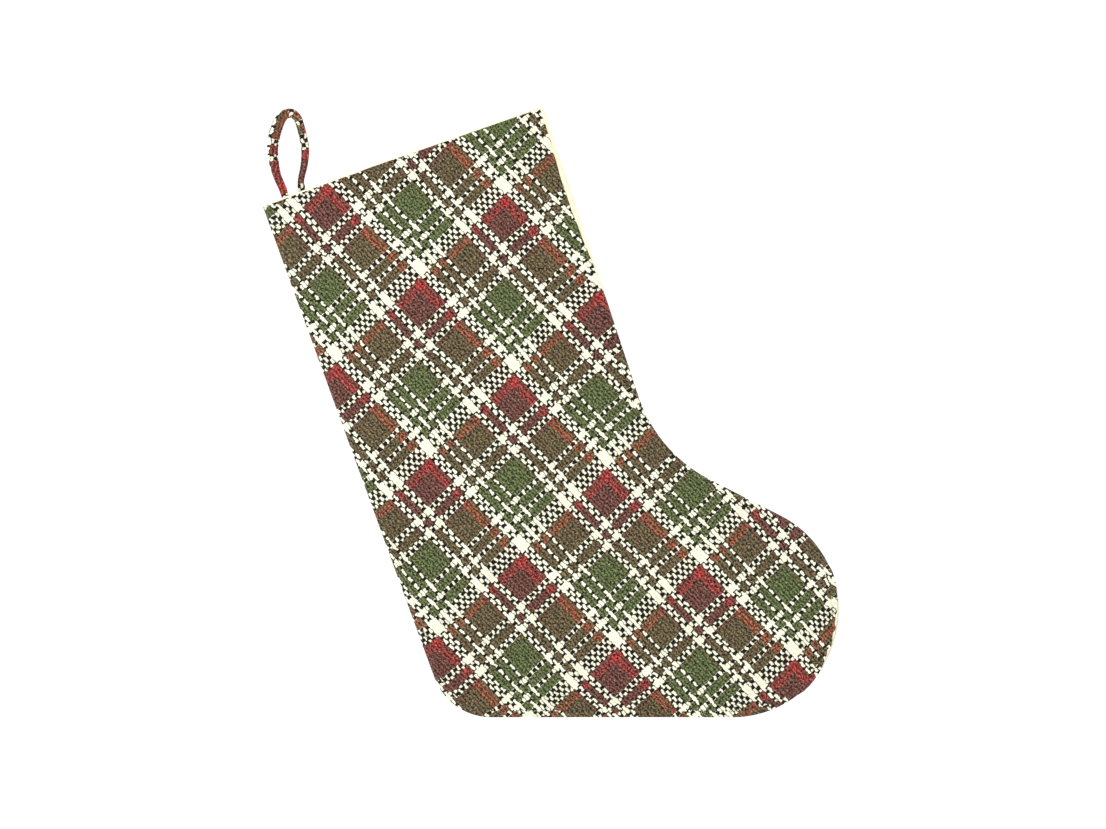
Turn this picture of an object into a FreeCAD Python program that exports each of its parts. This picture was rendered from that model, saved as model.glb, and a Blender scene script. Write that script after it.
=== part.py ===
"""Hanging stocking: a plaid front, a cream back, a cream lining and a folded plaid hanging loop.

Frame: X towards the toe, Y from the front to the back, Z up, in millimetres. The origin is the point
inside the top of the loop that rests on the hook. The stocking is flat, with its seam parallel to XZ.
"""

import FreeCAD, Part
import math
import os

import Sketcher
from FreeCAD import Placement, Rotation, Vector

SIZES = {
    # the outline of the outer bag, along its seam
    "cuff_left_x": -21.0,
    "cuff_left_z": -70.5,
    "cuff_width": 234.0,
    "cuff_angle": 19.6,
    "heel_side_angle": 20.0,
    "front_side_angle": 18.2,
    "sole_depth": 470.5,
    "heel_radius": 48.0,
    "toe_radius": 84.0,
    "toe_centre_x": 347.0,
    "instep_angle": 27.0,
    "instep_radius": 114.0,
    "mouth_overrun": 40.0,
    # how far each panel stands out from the seam plane, at each distance in from the outline
    "seam_plane_y": -6.2,
    "puff_inset_a": 3.0,
    "puff_depth_a": 3.2,
    "puff_inset_b": 8.0,
    "puff_depth_b": 5.2,
    "puff_inset_c": 16.0,
    "puff_depth_c": 7.2,
    "puff_inset_d": 28.0,
    "puff_depth_d": 9.2,
    "puff_inset_e": 40.0,
    "puff_depth_e": 10.4,
    # cloth, seams and hems
    "plaid_cloth": 1.0,
    "lining_cloth": 0.7,
    "ply_gap": 0.1,
    "seam_allowance": 8.0,
    "turned_hem": 12.0,
    "lining_inset": 14.0,
    "lining_allowance": 4.5,
    "rolled_edge": 2.0,
    "lining_proud": 0.8,
    "back_proud": 1.4,
    # the plies measured square to a sloping face, and the gaps kept between pieces
    "edge_ply": 1.7,
    "hollow_drop_a": 1.2,
    "hollow_drop_b": 1.1,
    "hollow_drop": 1.05,
    "neck_depth": 1.5,
    "hem_gap": 0.3,
    "roll_gap": 0.6,
    "layer_edge": 0.5,
    "lining_edge_ply": 0.9,
    "lining_corner_ply": 0.7,
    "lining_face_ply": 0.91,
    "thread_gap": 0.05,
    "thread_stop": 1.0,
    "thread": 0.45,
    "side_seam_inset": 2.7,
    "lining_seam_inset": 11.0,
    "mouth_seam_drop": 3.0,
    "mouth_seam_inset": 18.0,
    "mouth_seam_start": 1.0,
    "mouth_seam_reach": 20.0,
    # the hanging loop
    "loop_top_radius": 4.2,
    "loop_left_radius": 65.0,
    "loop_right_radius": 92.0,
    "loop_left_foot_x": -1.4,
    "loop_right_foot_x": 6.0,
    "loop_foot_depth": 60.0,
    "strip_across": 6.0,
    "strip_deep": 4.0,
    "strip_edge_margin": 1.2,
    "hinge_height": 5.0,
    "hinge_clearance": 2.6,
    "tail_left_at": 19.3,
    "tail_right_at": 33.6,
    "tail_length": 14.0,
    "tail_thick": 1.0,
    "tail_top_gap": 0.5,
    "slot_clearance": 0.2,
    "slot_below_roll": 1.0,
    "slot_above_cuff": 10.0,
    "tack_across": 4.4,
    "tack_pitch": 2.4,
    "tack_first": 6.0,
}

TACKS_PER_TAIL = 3
FRONT, BACK = -1, 1
NO_INSET = 0.01
REACH_ALONG = 700.0
REACH_DEEP = 60.0
REACH_DOWN = 620.0
REACH_UP = 150.0
START_ALONG = -150.0

doc = FreeCAD.newDocument("hanging_stocking")
sheet = doc.addObject("Spreadsheet::Sheet", "sizes")
for row, (alias, number) in enumerate(SIZES.items(), start=1):
    sheet.set(f"A{row}", alias)
    sheet.set(f"B{row}", str(number))
    sheet.setAlias(f"B{row}", alias)
doc.recompute()

nodes = []


def node(thing, name):
    """Gives a sub-part the label that names its file."""
    thing.Label = name
    nodes.append(thing)
    return thing


def bind(thing, **expressions):
    """Binds properties to expressions on the sheet; a double underscore stands for a dot."""
    for name, expression in expressions.items():
        thing.setExpression(name.replace("__", "."), expression)
    return thing


def polar(centre, radius, degrees):
    """The point at an angle round a centre, in a sketch's plane."""
    turn = math.radians(degrees)
    return Vector(centre.x + radius * math.cos(turn), centre.y + radius * math.sin(turn), 0)


def name_datum(sketch, name, expression, *definition):
    """Adds one dimension to a sketch and binds it to the sheet."""
    at = sketch.addConstraint(Sketcher.Constraint(*definition))
    sketch.renameConstraint(at, name)
    sketch.setExpression(f"Constraints.{name}", expression)


def meet(first, first_radius, second, second_radius, right):
    """Where two circles cross; right picks the crossing with the larger x."""
    apart = second.sub(first)
    along = (apart.Length**2 + first_radius**2 - second_radius**2) / (2 * apart.Length)
    across = math.sqrt(max(first_radius**2 - along**2, 0.0))
    unit = Vector(apart).normalize()
    base = first.add(unit * along)
    side = Vector(-unit.y, unit.x, 0) * across
    found = [base.add(side), base.sub(side)]
    return max(found, key=lambda p: p.x) if right else min(found, key=lambda p: p.x)


# ---------------------------------------------------------------- the two outlines


def stocking_outline():
    """The seam line of the bag, run on past the mouth so that the open end can be cut square to the leg.

    In order: heel-side edge, heel arc, sole, toe arc, top of the foot, instep arc, front edge, closing line.
    """
    s = SIZES
    sketch = doc.addObject("Sketcher::SketchObject", "outline")
    sketch.Placement = Placement(Vector(0, s["seam_plane_y"], 0), Rotation(Vector(1, 0, 0), 90))
    bind(sketch, Placement__Base__y="sizes.seam_plane_y * 1 mm")

    cuff_left = Vector(s["cuff_left_x"], s["cuff_left_z"], 0)
    cuff_right = polar(cuff_left, s["cuff_width"], s["cuff_angle"])
    up_heel_side = 90 + s["heel_side_angle"]
    up_front_side = 90 + s["front_side_angle"]
    foot_angle = 180 - s["instep_angle"]
    top_left = polar(cuff_left, s["mouth_overrun"], up_heel_side)
    top_right = polar(cuff_right, s["mouth_overrun"], up_front_side)

    corner_drop = (s["cuff_left_z"] + s["sole_depth"]) / math.cos(math.radians(s["heel_side_angle"]))
    heel_corner = polar(cuff_left, -corner_drop, up_heel_side)
    heel_turn = math.radians(90 - s["heel_side_angle"])
    heel_tangent = s["heel_radius"] * math.tan(heel_turn / 2)
    heel_top = polar(heel_corner, heel_tangent, up_heel_side)
    heel_end = heel_corner.add(Vector(heel_tangent, 0, 0))
    heel_centre = heel_end.add(Vector(0, s["heel_radius"], 0))
    toe_centre = Vector(s["toe_centre_x"], s["toe_radius"] - s["sole_depth"], 0)
    toe_start = polar(toe_centre, s["toe_radius"], -90)
    toe_end = polar(toe_centre, s["toe_radius"], 90 - s["instep_angle"])
    down = polar(Vector(), 1.0, up_front_side - 180)
    along = polar(Vector(), 1.0, foot_angle)
    gap = toe_end.sub(cuff_right)
    run = (gap.x * along.y - gap.y * along.x) / (down.x * along.y - down.y * along.x)
    instep_corner = cuff_right.add(down * run)
    instep_turn = math.radians(foot_angle - up_front_side)
    instep_tangent = s["instep_radius"] * math.tan(instep_turn / 2)
    instep_low = instep_corner.sub(along * instep_tangent)
    instep_high = instep_corner.sub(down * instep_tangent)
    instep_centre = polar(instep_high, s["instep_radius"], s["front_side_angle"])

    def arc(centre, radius, start, end):
        return Part.ArcOfCircle(
            Part.Circle(centre, Vector(0, 0, 1), radius), math.radians(start), math.radians(end)
        )

    heel_side = sketch.addGeometry(Part.LineSegment(top_left, heel_top))
    heel = sketch.addGeometry(arc(heel_centre, s["heel_radius"], 180 + s["heel_side_angle"], 270))
    sole = sketch.addGeometry(Part.LineSegment(heel_end, toe_start))
    toe = sketch.addGeometry(arc(toe_centre, s["toe_radius"], -90, 90 - s["instep_angle"]))
    foot = sketch.addGeometry(Part.LineSegment(toe_end, instep_low))
    instep = sketch.addGeometry(
        arc(instep_centre, s["instep_radius"], 180 + s["front_side_angle"], 270 - s["instep_angle"])
    )
    front_side = sketch.addGeometry(Part.LineSegment(instep_high, top_right))
    closing = sketch.addGeometry(Part.LineSegment(top_right, top_left))
    cuff = sketch.addGeometry(Part.LineSegment(cuff_left, cuff_right), True)

    for one, one_end, other, other_end in (
        (heel_side, 2, heel, 1),
        (heel, 2, sole, 1),
        (sole, 2, toe, 1),
        (toe, 2, foot, 1),
        (foot, 2, instep, 2),
        (instep, 1, front_side, 1),
    ):
        sketch.addConstraint(Sketcher.Constraint("Tangent", one, one_end, other, other_end))
    sketch.addConstraint(Sketcher.Constraint("Coincident", front_side, 2, closing, 1))
    sketch.addConstraint(Sketcher.Constraint("Coincident", closing, 2, heel_side, 1))
    sketch.addConstraint(Sketcher.Constraint("PointOnObject", cuff, 1, heel_side))
    sketch.addConstraint(Sketcher.Constraint("PointOnObject", cuff, 2, front_side))
    sketch.addConstraint(Sketcher.Constraint("Horizontal", sole))
    sketch.addConstraint(Sketcher.Constraint("Parallel", closing, cuff))

    angle = {
        "cuff_tilt": (cuff, s["cuff_angle"], "sizes.cuff_angle"),
        "heel_side_tilt": (heel_side, s["heel_side_angle"] - 90, "sizes.heel_side_angle - 90"),
        "foot_tilt": (foot, foot_angle, "180 - sizes.instep_angle"),
        "front_side_tilt": (front_side, up_front_side, "90 + sizes.front_side_angle"),
    }
    for name, (line, degrees, expression) in angle.items():
        name_datum(sketch, name, f"({expression}) * 1 deg", "Angle", line, math.radians(degrees))
    for name, curve in (("heel_radius", heel), ("toe_radius", toe), ("instep_radius", instep)):
        name_datum(sketch, name, f"sizes.{name}", "Radius", curve, s[name])
    name_datum(sketch, "cuff_width", "sizes.cuff_width", "Distance", cuff, s["cuff_width"])
    name_datum(
        sketch, "overrun", "sizes.mouth_overrun", "Distance", heel_side, 1, cuff, 1, s["mouth_overrun"]
    )
    name_datum(
        sketch, "cuff_left_x", "sizes.cuff_left_x", "DistanceX", -1, 1, cuff, 1, s["cuff_left_x"]
    )
    name_datum(
        sketch, "cuff_left_z", "sizes.cuff_left_z", "DistanceY", -1, 1, cuff, 1, s["cuff_left_z"]
    )
    name_datum(
        sketch, "sole_z", "-sizes.sole_depth", "DistanceY", -1, 1, sole, 1, -s["sole_depth"]
    )
    name_datum(
        sketch, "toe_centre_x", "sizes.toe_centre_x", "DistanceX", -1, 1, toe, 3, s["toe_centre_x"]
    )
    return sketch


def loop_gap_outline():
    """The teardrop inside the hanging loop, with the hook's resting point at its top."""
    s = SIZES
    sketch = doc.addObject("Sketcher::SketchObject", "loop_gap")
    sketch.Placement = Placement(Vector(0, 0, 0), Rotation(Vector(1, 0, 0), 90))
    top_centre = Vector(0, -s["loop_top_radius"], 0)
    left_foot = Vector(s["loop_left_foot_x"], -s["loop_foot_depth"], 0)
    right_foot = Vector(s["loop_right_foot_x"], -s["loop_foot_depth"], 0)

    def side_centre(radius, foot, right):
        return meet(top_centre, radius - s["loop_top_radius"], foot, radius, right)

    def heading(centre, point):
        return math.atan2(point.y - centre.y, point.x - centre.x)

    left_centre = side_centre(s["loop_left_radius"], left_foot, True)
    right_centre = side_centre(s["loop_right_radius"], right_foot, False)
    left_turn = heading(left_centre, top_centre)
    right_turn = heading(right_centre, top_centre)

    def arc(centre, radius, start, end):
        return Part.ArcOfCircle(Part.Circle(centre, Vector(0, 0, 1), radius), start, end)

    top = sketch.addGeometry(arc(top_centre, s["loop_top_radius"], right_turn, left_turn))
    left = sketch.addGeometry(
        arc(left_centre, s["loop_left_radius"], left_turn, heading(left_centre, left_foot))
    )
    foot = sketch.addGeometry(Part.LineSegment(left_foot, right_foot))
    right = sketch.addGeometry(
        arc(right_centre, s["loop_right_radius"], heading(right_centre, right_foot), right_turn)
    )
    sketch.addConstraint(Sketcher.Constraint("Tangent", top, 2, left, 1))
    sketch.addConstraint(Sketcher.Constraint("Coincident", left, 2, foot, 1))
    sketch.addConstraint(Sketcher.Constraint("Coincident", foot, 2, right, 1))
    sketch.addConstraint(Sketcher.Constraint("Tangent", right, 2, top, 1))
    sketch.addConstraint(Sketcher.Constraint("Horizontal", foot))
    sketch.addConstraint(Sketcher.Constraint("PointOnObject", top, 3, -2))
    for name, curve in (
        ("loop_top_radius", top),
        ("loop_left_radius", left),
        ("loop_right_radius", right),
    ):
        name_datum(sketch, name, f"sizes.{name}", "Radius", curve, s[name])
    name_datum(
        sketch,
        "top_drop",
        "-sizes.loop_top_radius",
        "DistanceY",
        -1,
        1,
        top,
        3,
        -s["loop_top_radius"],
    )
    name_datum(
        sketch, "left_foot", "sizes.loop_left_foot_x", "DistanceX", -1, 1, foot, 1, left_foot.x
    )
    name_datum(
        sketch, "right_foot", "sizes.loop_right_foot_x", "DistanceX", -1, 1, foot, 2, right_foot.x
    )
    name_datum(
        sketch, "foot_drop", "-sizes.loop_foot_depth", "DistanceY", -1, 1, foot, 1, left_foot.y
    )
    return sketch


outline = stocking_outline()
loop_gap = loop_gap_outline()
doc.recompute()


# ---------------------------------------------------------------- shapes that the sub-parts share


def ring_at(source, name, inset, depth, side):
    """A sketch's outline moved in by inset, at a depth out from its plane."""
    ring = doc.addObject("Part::Offset2D", name)
    ring.Source = source
    ring.Mode = "Pipe"
    ring.Join = "Intersection"
    bind(ring, Value=f"-({inset})", Placement__Base__y=f"{side} * ({depth}) * 1 mm")
    return ring


def pillow(name, side, stations):
    """A ruled solid from the seam plane outwards, through an inset outline at each depth."""
    rings = [
        ring_at(outline, f"{name}_{at}", inset, depth, side)
        for at, (inset, depth) in enumerate(stations)
    ]
    loft = doc.addObject("Part::Loft", name)
    loft.Sections = rings
    loft.Ruled = True
    loft.Solid = True
    return loft


def prism(name, source, inset, start, length, side):
    """An outline, moved in by inset, carried straight outwards from a starting depth."""
    solid = doc.addObject("Part::Extrusion", name)
    solid.Base = ring_at(source, f"{name}_edge", inset, start, side)
    solid.DirMode = "Custom"
    solid.Dir = Vector(0, side, 0)
    solid.Solid = True
    return bind(solid, LengthFwd=length)


def cuff_box(name, along, width, low, high):
    """A box squared to the cuff line, from one distance along it, between two heights above it."""
    box = doc.addObject("Part::Box", name)
    box.Placement = Placement(Vector(), Rotation(Vector(0, -1, 0), SIZES["cuff_angle"]))
    tilt = "sizes.cuff_angle * 1 deg"
    x = f"sizes.cuff_left_x + ({along}) * cos({tilt}) - ({low}) * sin({tilt})"
    z = f"sizes.cuff_left_z + ({along}) * sin({tilt}) + ({low}) * cos({tilt})"
    return bind(
        box,
        Length=width,
        Width=f"{REACH_DEEP}",
        Height=f"({high}) - ({low})",
        Placement__Base__x=f"({x}) * 1 mm",
        Placement__Base__y=f"{-REACH_DEEP / 2} mm",
        Placement__Base__z=f"({z}) * 1 mm",
        Placement__Rotation__Angle=tilt,
    )


def band(name, low, high):
    """Everything between two heights above the cuff line."""
    return cuff_box(name, f"{START_ALONG}", f"{REACH_ALONG}", low, high)


def cut(name, base, tool):
    result = doc.addObject("Part::Cut", name)
    result.Base = base
    result.Tool = tool
    return result


def common(name, *shapes):
    result = doc.addObject("Part::MultiCommon", name)
    result.Shapes = list(shapes)
    return result


def fuse(name, *shapes):
    result = doc.addObject("Part::MultiFuse", name)
    result.Shapes = list(shapes)
    return result


def under(drop, letters="cde"):
    """The outer surface's stations, lowered by drop, where they lie well inside the seam."""
    return [(f"sizes.puff_inset_{x}", f"sizes.puff_depth_{x} - ({drop})") for x in letters]


HEM_DROP = "2 * sizes.plaid_cloth"
LIP_DROP = f"{HEM_DROP} + sizes.ply_gap"
TAIL_INNER_DROP = f"{LIP_DROP} + sizes.tail_thick"
TACK_DROP = f"{TAIL_INNER_DROP} + sizes.ply_gap"
TACK_INNER_DROP = f"{TACK_DROP} + sizes.thread"
LINING_DROP = f"{TACK_INNER_DROP} + 2 * sizes.ply_gap"
LINING_INNER_DROP = f"{LINING_DROP} + sizes.lining_face_ply"
HINGE_TOP = "sizes.hinge_height - sizes.tail_top_gap"


def layer(name, side, outer_drop, inner_drop):
    """The space between two depths under the outer surface, clear of the lining's own seam."""
    inner_edge = "sizes.lining_inset + sizes.layer_edge"
    outer = pillow(f"{name}_outer", side, [("sizes.lining_inset", "0")] + under(outer_drop))
    inner = pillow(f"{name}_inner", side, [(inner_edge, "0")] + under(inner_drop))
    return cut(name, outer, inner)


# ---------------------------------------------------------------- outer bag


def outer_panel(name, side, proud):
    """One outer panel: its face, its seam allowance along the seam plane, and its top turned in as a hem."""
    face = pillow(
        f"{name}_face",
        side,
        [(str(NO_INSET), "0"), (str(NO_INSET), "sizes.plaid_cloth")] + under("0", "abcde"),
    )
    hollow = fuse(
        f"{name}_hollow",
        pillow(
            f"{name}_inside",
            side,
            [("sizes.edge_ply", "sizes.plaid_cloth")]
            + under("sizes.hollow_drop_a", "a")
            + under("sizes.hollow_drop_b", "b")
            + under("sizes.hollow_drop", "cde"),
        ),
        prism(f"{name}_neck", outline, "sizes.seam_allowance", "0", "sizes.neck_depth", side),
    )
    body = band(f"{name}_body_zone", f"-{REACH_DOWN}", "-sizes.turned_hem")
    below_hem = common(f"{name}_below_hem", hollow, body)
    hem_inside = pillow(
        f"{name}_hem_inside",
        side,
        [("sizes.seam_allowance + sizes.hem_gap", "0")] + under(HEM_DROP, "cde"),
    )
    hollows = fuse(f"{name}_hollows", below_hem, hem_inside)
    kept = band(f"{name}_kept_zone", f"-{REACH_DOWN}", proud)
    return node(common(f"{name}_cloth", cut(f"{name}_shell", face, hollows), kept), name)


outer_panel("front_panel", FRONT, "0")
outer_panel("back_panel", BACK, "sizes.back_proud")


# ---------------------------------------------------------------- lining bag


def lining_panel(name, side, proud, slots):
    """One lining panel: its face, its outward seam allowance, and its top rolled out to meet the hem."""
    face = pillow(
        f"{name}_face",
        side,
        [("sizes.lining_inset", "0"), ("sizes.lining_inset", "sizes.lining_cloth")]
        + under(LINING_DROP, "cde"),
    )
    allowance = prism(
        f"{name}_allowance",
        outline,
        "sizes.lining_inset - sizes.lining_allowance",
        "0",
        "sizes.lining_cloth",
        side,
    )
    inside = pillow(
        f"{name}_inside",
        side,
        [
            ("sizes.lining_inset + sizes.lining_edge_ply", "0"),
            (
                "sizes.puff_inset_c + sizes.lining_corner_ply",
                f"sizes.puff_depth_c - ({LINING_INNER_DROP})",
            ),
        ]
        + under(LINING_INNER_DROP, "de"),
    )
    rolled = common(
        f"{name}_rolled",
        pillow(
            f"{name}_roll_space",
            side,
            [("sizes.seam_allowance + sizes.roll_gap", "0")] + under(LIP_DROP, "cde"),
        ),
        band(f"{name}_roll_zone", "-sizes.rolled_edge", proud),
    )
    kept = band(f"{name}_kept_zone", f"-{REACH_DOWN}", proud)
    cloth = cut(f"{name}_shell", fuse(f"{name}_plies", face, allowance, rolled), inside)
    trimmed = common(f"{name}_cloth", cloth, kept)
    if slots:
        trimmed = cut(f"{name}_slotted", trimmed, slots)
    return node(trimmed, name)


def tail_boxes(name, spare, low, high):
    """Two uprights squared to the cuff, one round each tail of the hanging strip."""
    width = f"sizes.strip_across + 2 * ({spare})"
    return fuse(
        name,
        *(
            cuff_box(
                f"{name}_{which}",
                f"sizes.tail_{which}_at - sizes.strip_across / 2 - ({spare})",
                width,
                low,
                high,
            )
            for which in ("left", "right")
        ),
    )


tail_slots = common(
    "tail_slots",
    tail_boxes(
        "slot_boxes",
        "sizes.slot_clearance",
        "-sizes.rolled_edge - sizes.slot_below_roll",
        "sizes.slot_above_cuff",
    ),
    layer("slot_layer", BACK, HEM_DROP, TACK_INNER_DROP),
)
lining_panel("front_lining", FRONT, "sizes.lining_proud", None)
lining_panel("back_lining", BACK, "sizes.back_proud + sizes.lining_proud", tail_slots)


# ---------------------------------------------------------------- sewing threads


def seam_thread(name, side, inset, start):
    """A thread that runs round the seam allowance, lying on one side of it, up to the turned hem."""
    outer = prism(f"{name}_outer", outline, inset, start, "sizes.thread", side)
    inner = prism(f"{name}_inner", outline, f"{inset} + sizes.thread", start, "sizes.thread", side)
    zone = band(f"{name}_zone", f"-{REACH_DOWN}", "-sizes.turned_hem - sizes.thread_stop")
    return node(common(f"{name}_run", cut(f"{name}_ring", outer, inner), zone), name)


for thread_name, thread_side in (("needle", FRONT), ("bobbin", BACK)):
    seam_thread(
        f"side_seam_{thread_name}_thread",
        thread_side,
        "sizes.side_seam_inset",
        "sizes.plaid_cloth + sizes.thread_gap",
    )
    seam_thread(
        f"lining_seam_{thread_name}_thread",
        thread_side,
        "sizes.lining_seam_inset",
        "sizes.lining_cloth + sizes.thread_gap",
    )


def mouth_seam():
    """The thread round the mouth, between the turned hem and the lining, under the rolled edge."""
    height = "-sizes.mouth_seam_drop"
    zone = band("mouth_seam_zone", f"{height} - sizes.thread", height)
    runs = [
        common(
            f"mouth_seam_{label}",
            layer(f"mouth_seam_{label}_layer", side, TACK_DROP, TACK_INNER_DROP),
            zone,
            prism(
                f"mouth_seam_{label}_reach",
                outline,
                "sizes.mouth_seam_inset",
                "sizes.mouth_seam_start",
                "sizes.mouth_seam_reach",
                side,
            ),
        )
        for label, side in (("front", FRONT), ("back", BACK))
    ]
    return node(fuse("mouth_seam_runs", *runs), "mouth_seam_thread")


mouth_seam()


# ---------------------------------------------------------------- hanging loop

tail_space = tail_boxes("tail_boxes", "0", "-sizes.tail_length", HINGE_TOP)
tail_layer = layer("tail_layer", BACK, LIP_DROP, TAIL_INNER_DROP)
node(common("tails", tail_space, tail_layer), "loop_tails")


def tacks():
    """Bar tacks across each tail, on the lining side, below the mouth seam."""
    bars = [
        cuff_box(
            f"tack_{which}_{row}",
            f"sizes.tail_{which}_at - sizes.tack_across / 2",
            "sizes.tack_across",
            f"-sizes.tack_first - {row} * sizes.tack_pitch",
            f"-sizes.tack_first - {row} * sizes.tack_pitch + sizes.thread",
        )
        for which in ("left", "right")
        for row in range(TACKS_PER_TAIL)
    ]
    space = layer("tack_layer", BACK, TACK_DROP, TACK_INNER_DROP)
    return node(common("tack_bars", fuse("tack_boxes", *bars), space), "loop_tack_thread")


tacks()

above_hinge = band("above_hinge", "sizes.hinge_height + sizes.hinge_clearance", f"{REACH_UP}")


def loop_slab(name, outset, start, thickness):
    """The loop's outline, moved out from its gap by outset, carried back from a starting depth."""
    return prism(name, loop_gap, f"-({outset})", start, thickness, BACK)


def loop_ring(name, inner, outer, start, thickness):
    """A strip round the loop between two distances out from its gap, above the hinge line."""
    ring = cut(
        f"{name}_ring",
        loop_slab(f"{name}_outer", outer, start, thickness),
        loop_slab(f"{name}_inner", inner, start, thickness),
    )
    return common(f"{name}_free", ring, above_hinge)


node(
    loop_ring(
        "strip", str(NO_INSET), "sizes.strip_across", "-sizes.strip_deep / 2", "sizes.strip_deep"
    ),
    "hanging_loop",
)
node(
    loop_ring(
        "strip_stitches",
        "sizes.strip_across - sizes.strip_edge_margin - sizes.thread",
        "sizes.strip_across - sizes.strip_edge_margin",
        "-sizes.strip_deep / 2 - sizes.thread_gap - sizes.thread",
        "sizes.thread",
    ),
    "loop_seam_thread",
)


# ---------------------------------------------------------------- checks and files

doc.recompute()
for thing in doc.Objects:
    if {"Invalid", "Error"} & set(thing.State):
        raise SystemExit(f"{thing.Label} failed: {thing.State}")
for sketch in (outline, loop_gap):
    if sketch.solve() != 0:
        raise SystemExit(f"{sketch.Label} doesn't solve")
os.makedirs("parts", exist_ok=True)
for thing in nodes:
    shape = thing.Shape
    if shape.isNull() or not shape.isValid() or not shape.Solids:
        raise SystemExit(f"{thing.Label} has no valid solid")
    box = shape.BoundBox
    spans = [
        f"{axis} {low:.1f}..{high:.1f}"
        for axis, low, high in (
            ("x", box.XMin, box.XMax),
            ("y", box.YMin, box.YMax),
            ("z", box.ZMin, box.ZMax),
        )
    ]
    print(f"{thing.Label}: {len(shape.Solids)} solid(s), {shape.Volume:.0f} mm3, {', '.join(spans)}")
    shape.exportStep(f"parts/{thing.Label}.step")
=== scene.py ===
"""Hanging stocking, the looks: plaid front, cream back, cream lining, folded plaid loop and their stitches.

Every length is in metres unless its name says mm. X runs towards the toe, Y from front to back, Z up.
"""

import math

import bmesh
import bpy
import numpy as np
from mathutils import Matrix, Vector
from mathutils.bvhtree import BVHTree
from mathutils.geometry import delaunay_2d_cdt
from mathutils.kdtree import KDTree


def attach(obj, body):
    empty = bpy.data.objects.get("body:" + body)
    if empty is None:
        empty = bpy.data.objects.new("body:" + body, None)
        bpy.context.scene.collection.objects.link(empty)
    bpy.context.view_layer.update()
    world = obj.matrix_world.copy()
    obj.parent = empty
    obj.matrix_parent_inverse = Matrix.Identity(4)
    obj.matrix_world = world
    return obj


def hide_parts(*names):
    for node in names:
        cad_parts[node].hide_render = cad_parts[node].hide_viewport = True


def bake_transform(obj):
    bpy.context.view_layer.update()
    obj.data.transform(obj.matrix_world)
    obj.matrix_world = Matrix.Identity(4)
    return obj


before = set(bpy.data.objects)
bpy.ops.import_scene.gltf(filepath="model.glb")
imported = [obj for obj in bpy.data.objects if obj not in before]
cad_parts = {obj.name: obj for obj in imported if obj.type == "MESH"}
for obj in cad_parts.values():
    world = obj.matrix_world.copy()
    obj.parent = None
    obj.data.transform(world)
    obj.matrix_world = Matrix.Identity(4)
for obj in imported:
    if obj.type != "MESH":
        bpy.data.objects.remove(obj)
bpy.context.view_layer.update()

MM = 0.001
FRONT, BACK = -1, 1

# ------------ sizes, as in the CAD

CUFF_LEFT = np.array([-21.0, -70.5]) * MM
CUFF_WIDTH = 234.0 * MM
CUFF_ANGLE = 19.6
HEEL_SIDE_ANGLE = 20.0
FRONT_SIDE_ANGLE = 18.2
SOLE_DEPTH = 470.5 * MM
HEEL_RADIUS = 48.0 * MM
TOE_RADIUS = 84.0 * MM
TOE_CENTRE_X = 347.0 * MM
INSTEP_ANGLE = 27.0
INSTEP_RADIUS = 114.0 * MM
SEAM_Y = -6.2 * MM
PLAID_CLOTH = 1.0 * MM
LINING_CLOTH = 0.7 * MM
SEAM_ALLOWANCE = 8.0 * MM
TURNED_HEM = 12.0 * MM
MOUTH_EXTRA = 40.0 * MM

# how the bag stands out from its seam
EDGE_DEPTH = 1.0 * MM
EDGE_REACH = 0.7 * MM
PUFF_DEPTH = 9.9 * MM
PUFF_REACH = 19.0 * MM
PUFF_POWER = 0.85

# ------------ plane geometry, in X and Z


def heading(degrees):
    """The unit vector at an angle from X towards Z."""
    turn = math.radians(degrees)
    return np.array([math.cos(turn), math.sin(turn)])


ALONG_CUFF = heading(CUFF_ANGLE)
UP_FROM_CUFF = heading(CUFF_ANGLE + 90)
UP_HEEL_SIDE = heading(HEEL_SIDE_ANGLE + 90)
UP_FRONT_SIDE = heading(FRONT_SIDE_ANGLE + 90)
CUFF_RIGHT = CUFF_LEFT + CUFF_WIDTH * ALONG_CUFF


def crossing(point, way, other, other_way):
    """Where two lines meet."""
    run, _ = np.linalg.solve(np.column_stack([way, -other_way]), other - point)
    return point + run * way


def line(start, end, step):
    """Evenly spaced points on a line, without its end, and the outward normals beside it."""
    count = max(1, round(float(np.linalg.norm(end - start)) / step))
    way = (end - start) / np.linalg.norm(end - start)
    points = start + np.arange(count)[:, None] / count * (end - start)
    return points, np.tile([way[1], -way[0]], (count, 1))


def arc(centre, radius, start, end, step):
    """Evenly spaced points on an arc, without its end, and outward normals; a falling angle bends inwards."""
    count = max(2, round(abs(math.radians(end - start)) * radius / step))
    turns = np.radians(start + np.arange(count) / count * (end - start))
    ways = np.column_stack([np.cos(turns), np.sin(turns)])
    return centre + radius * ways, ways * math.copysign(1, end - start)


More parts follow.
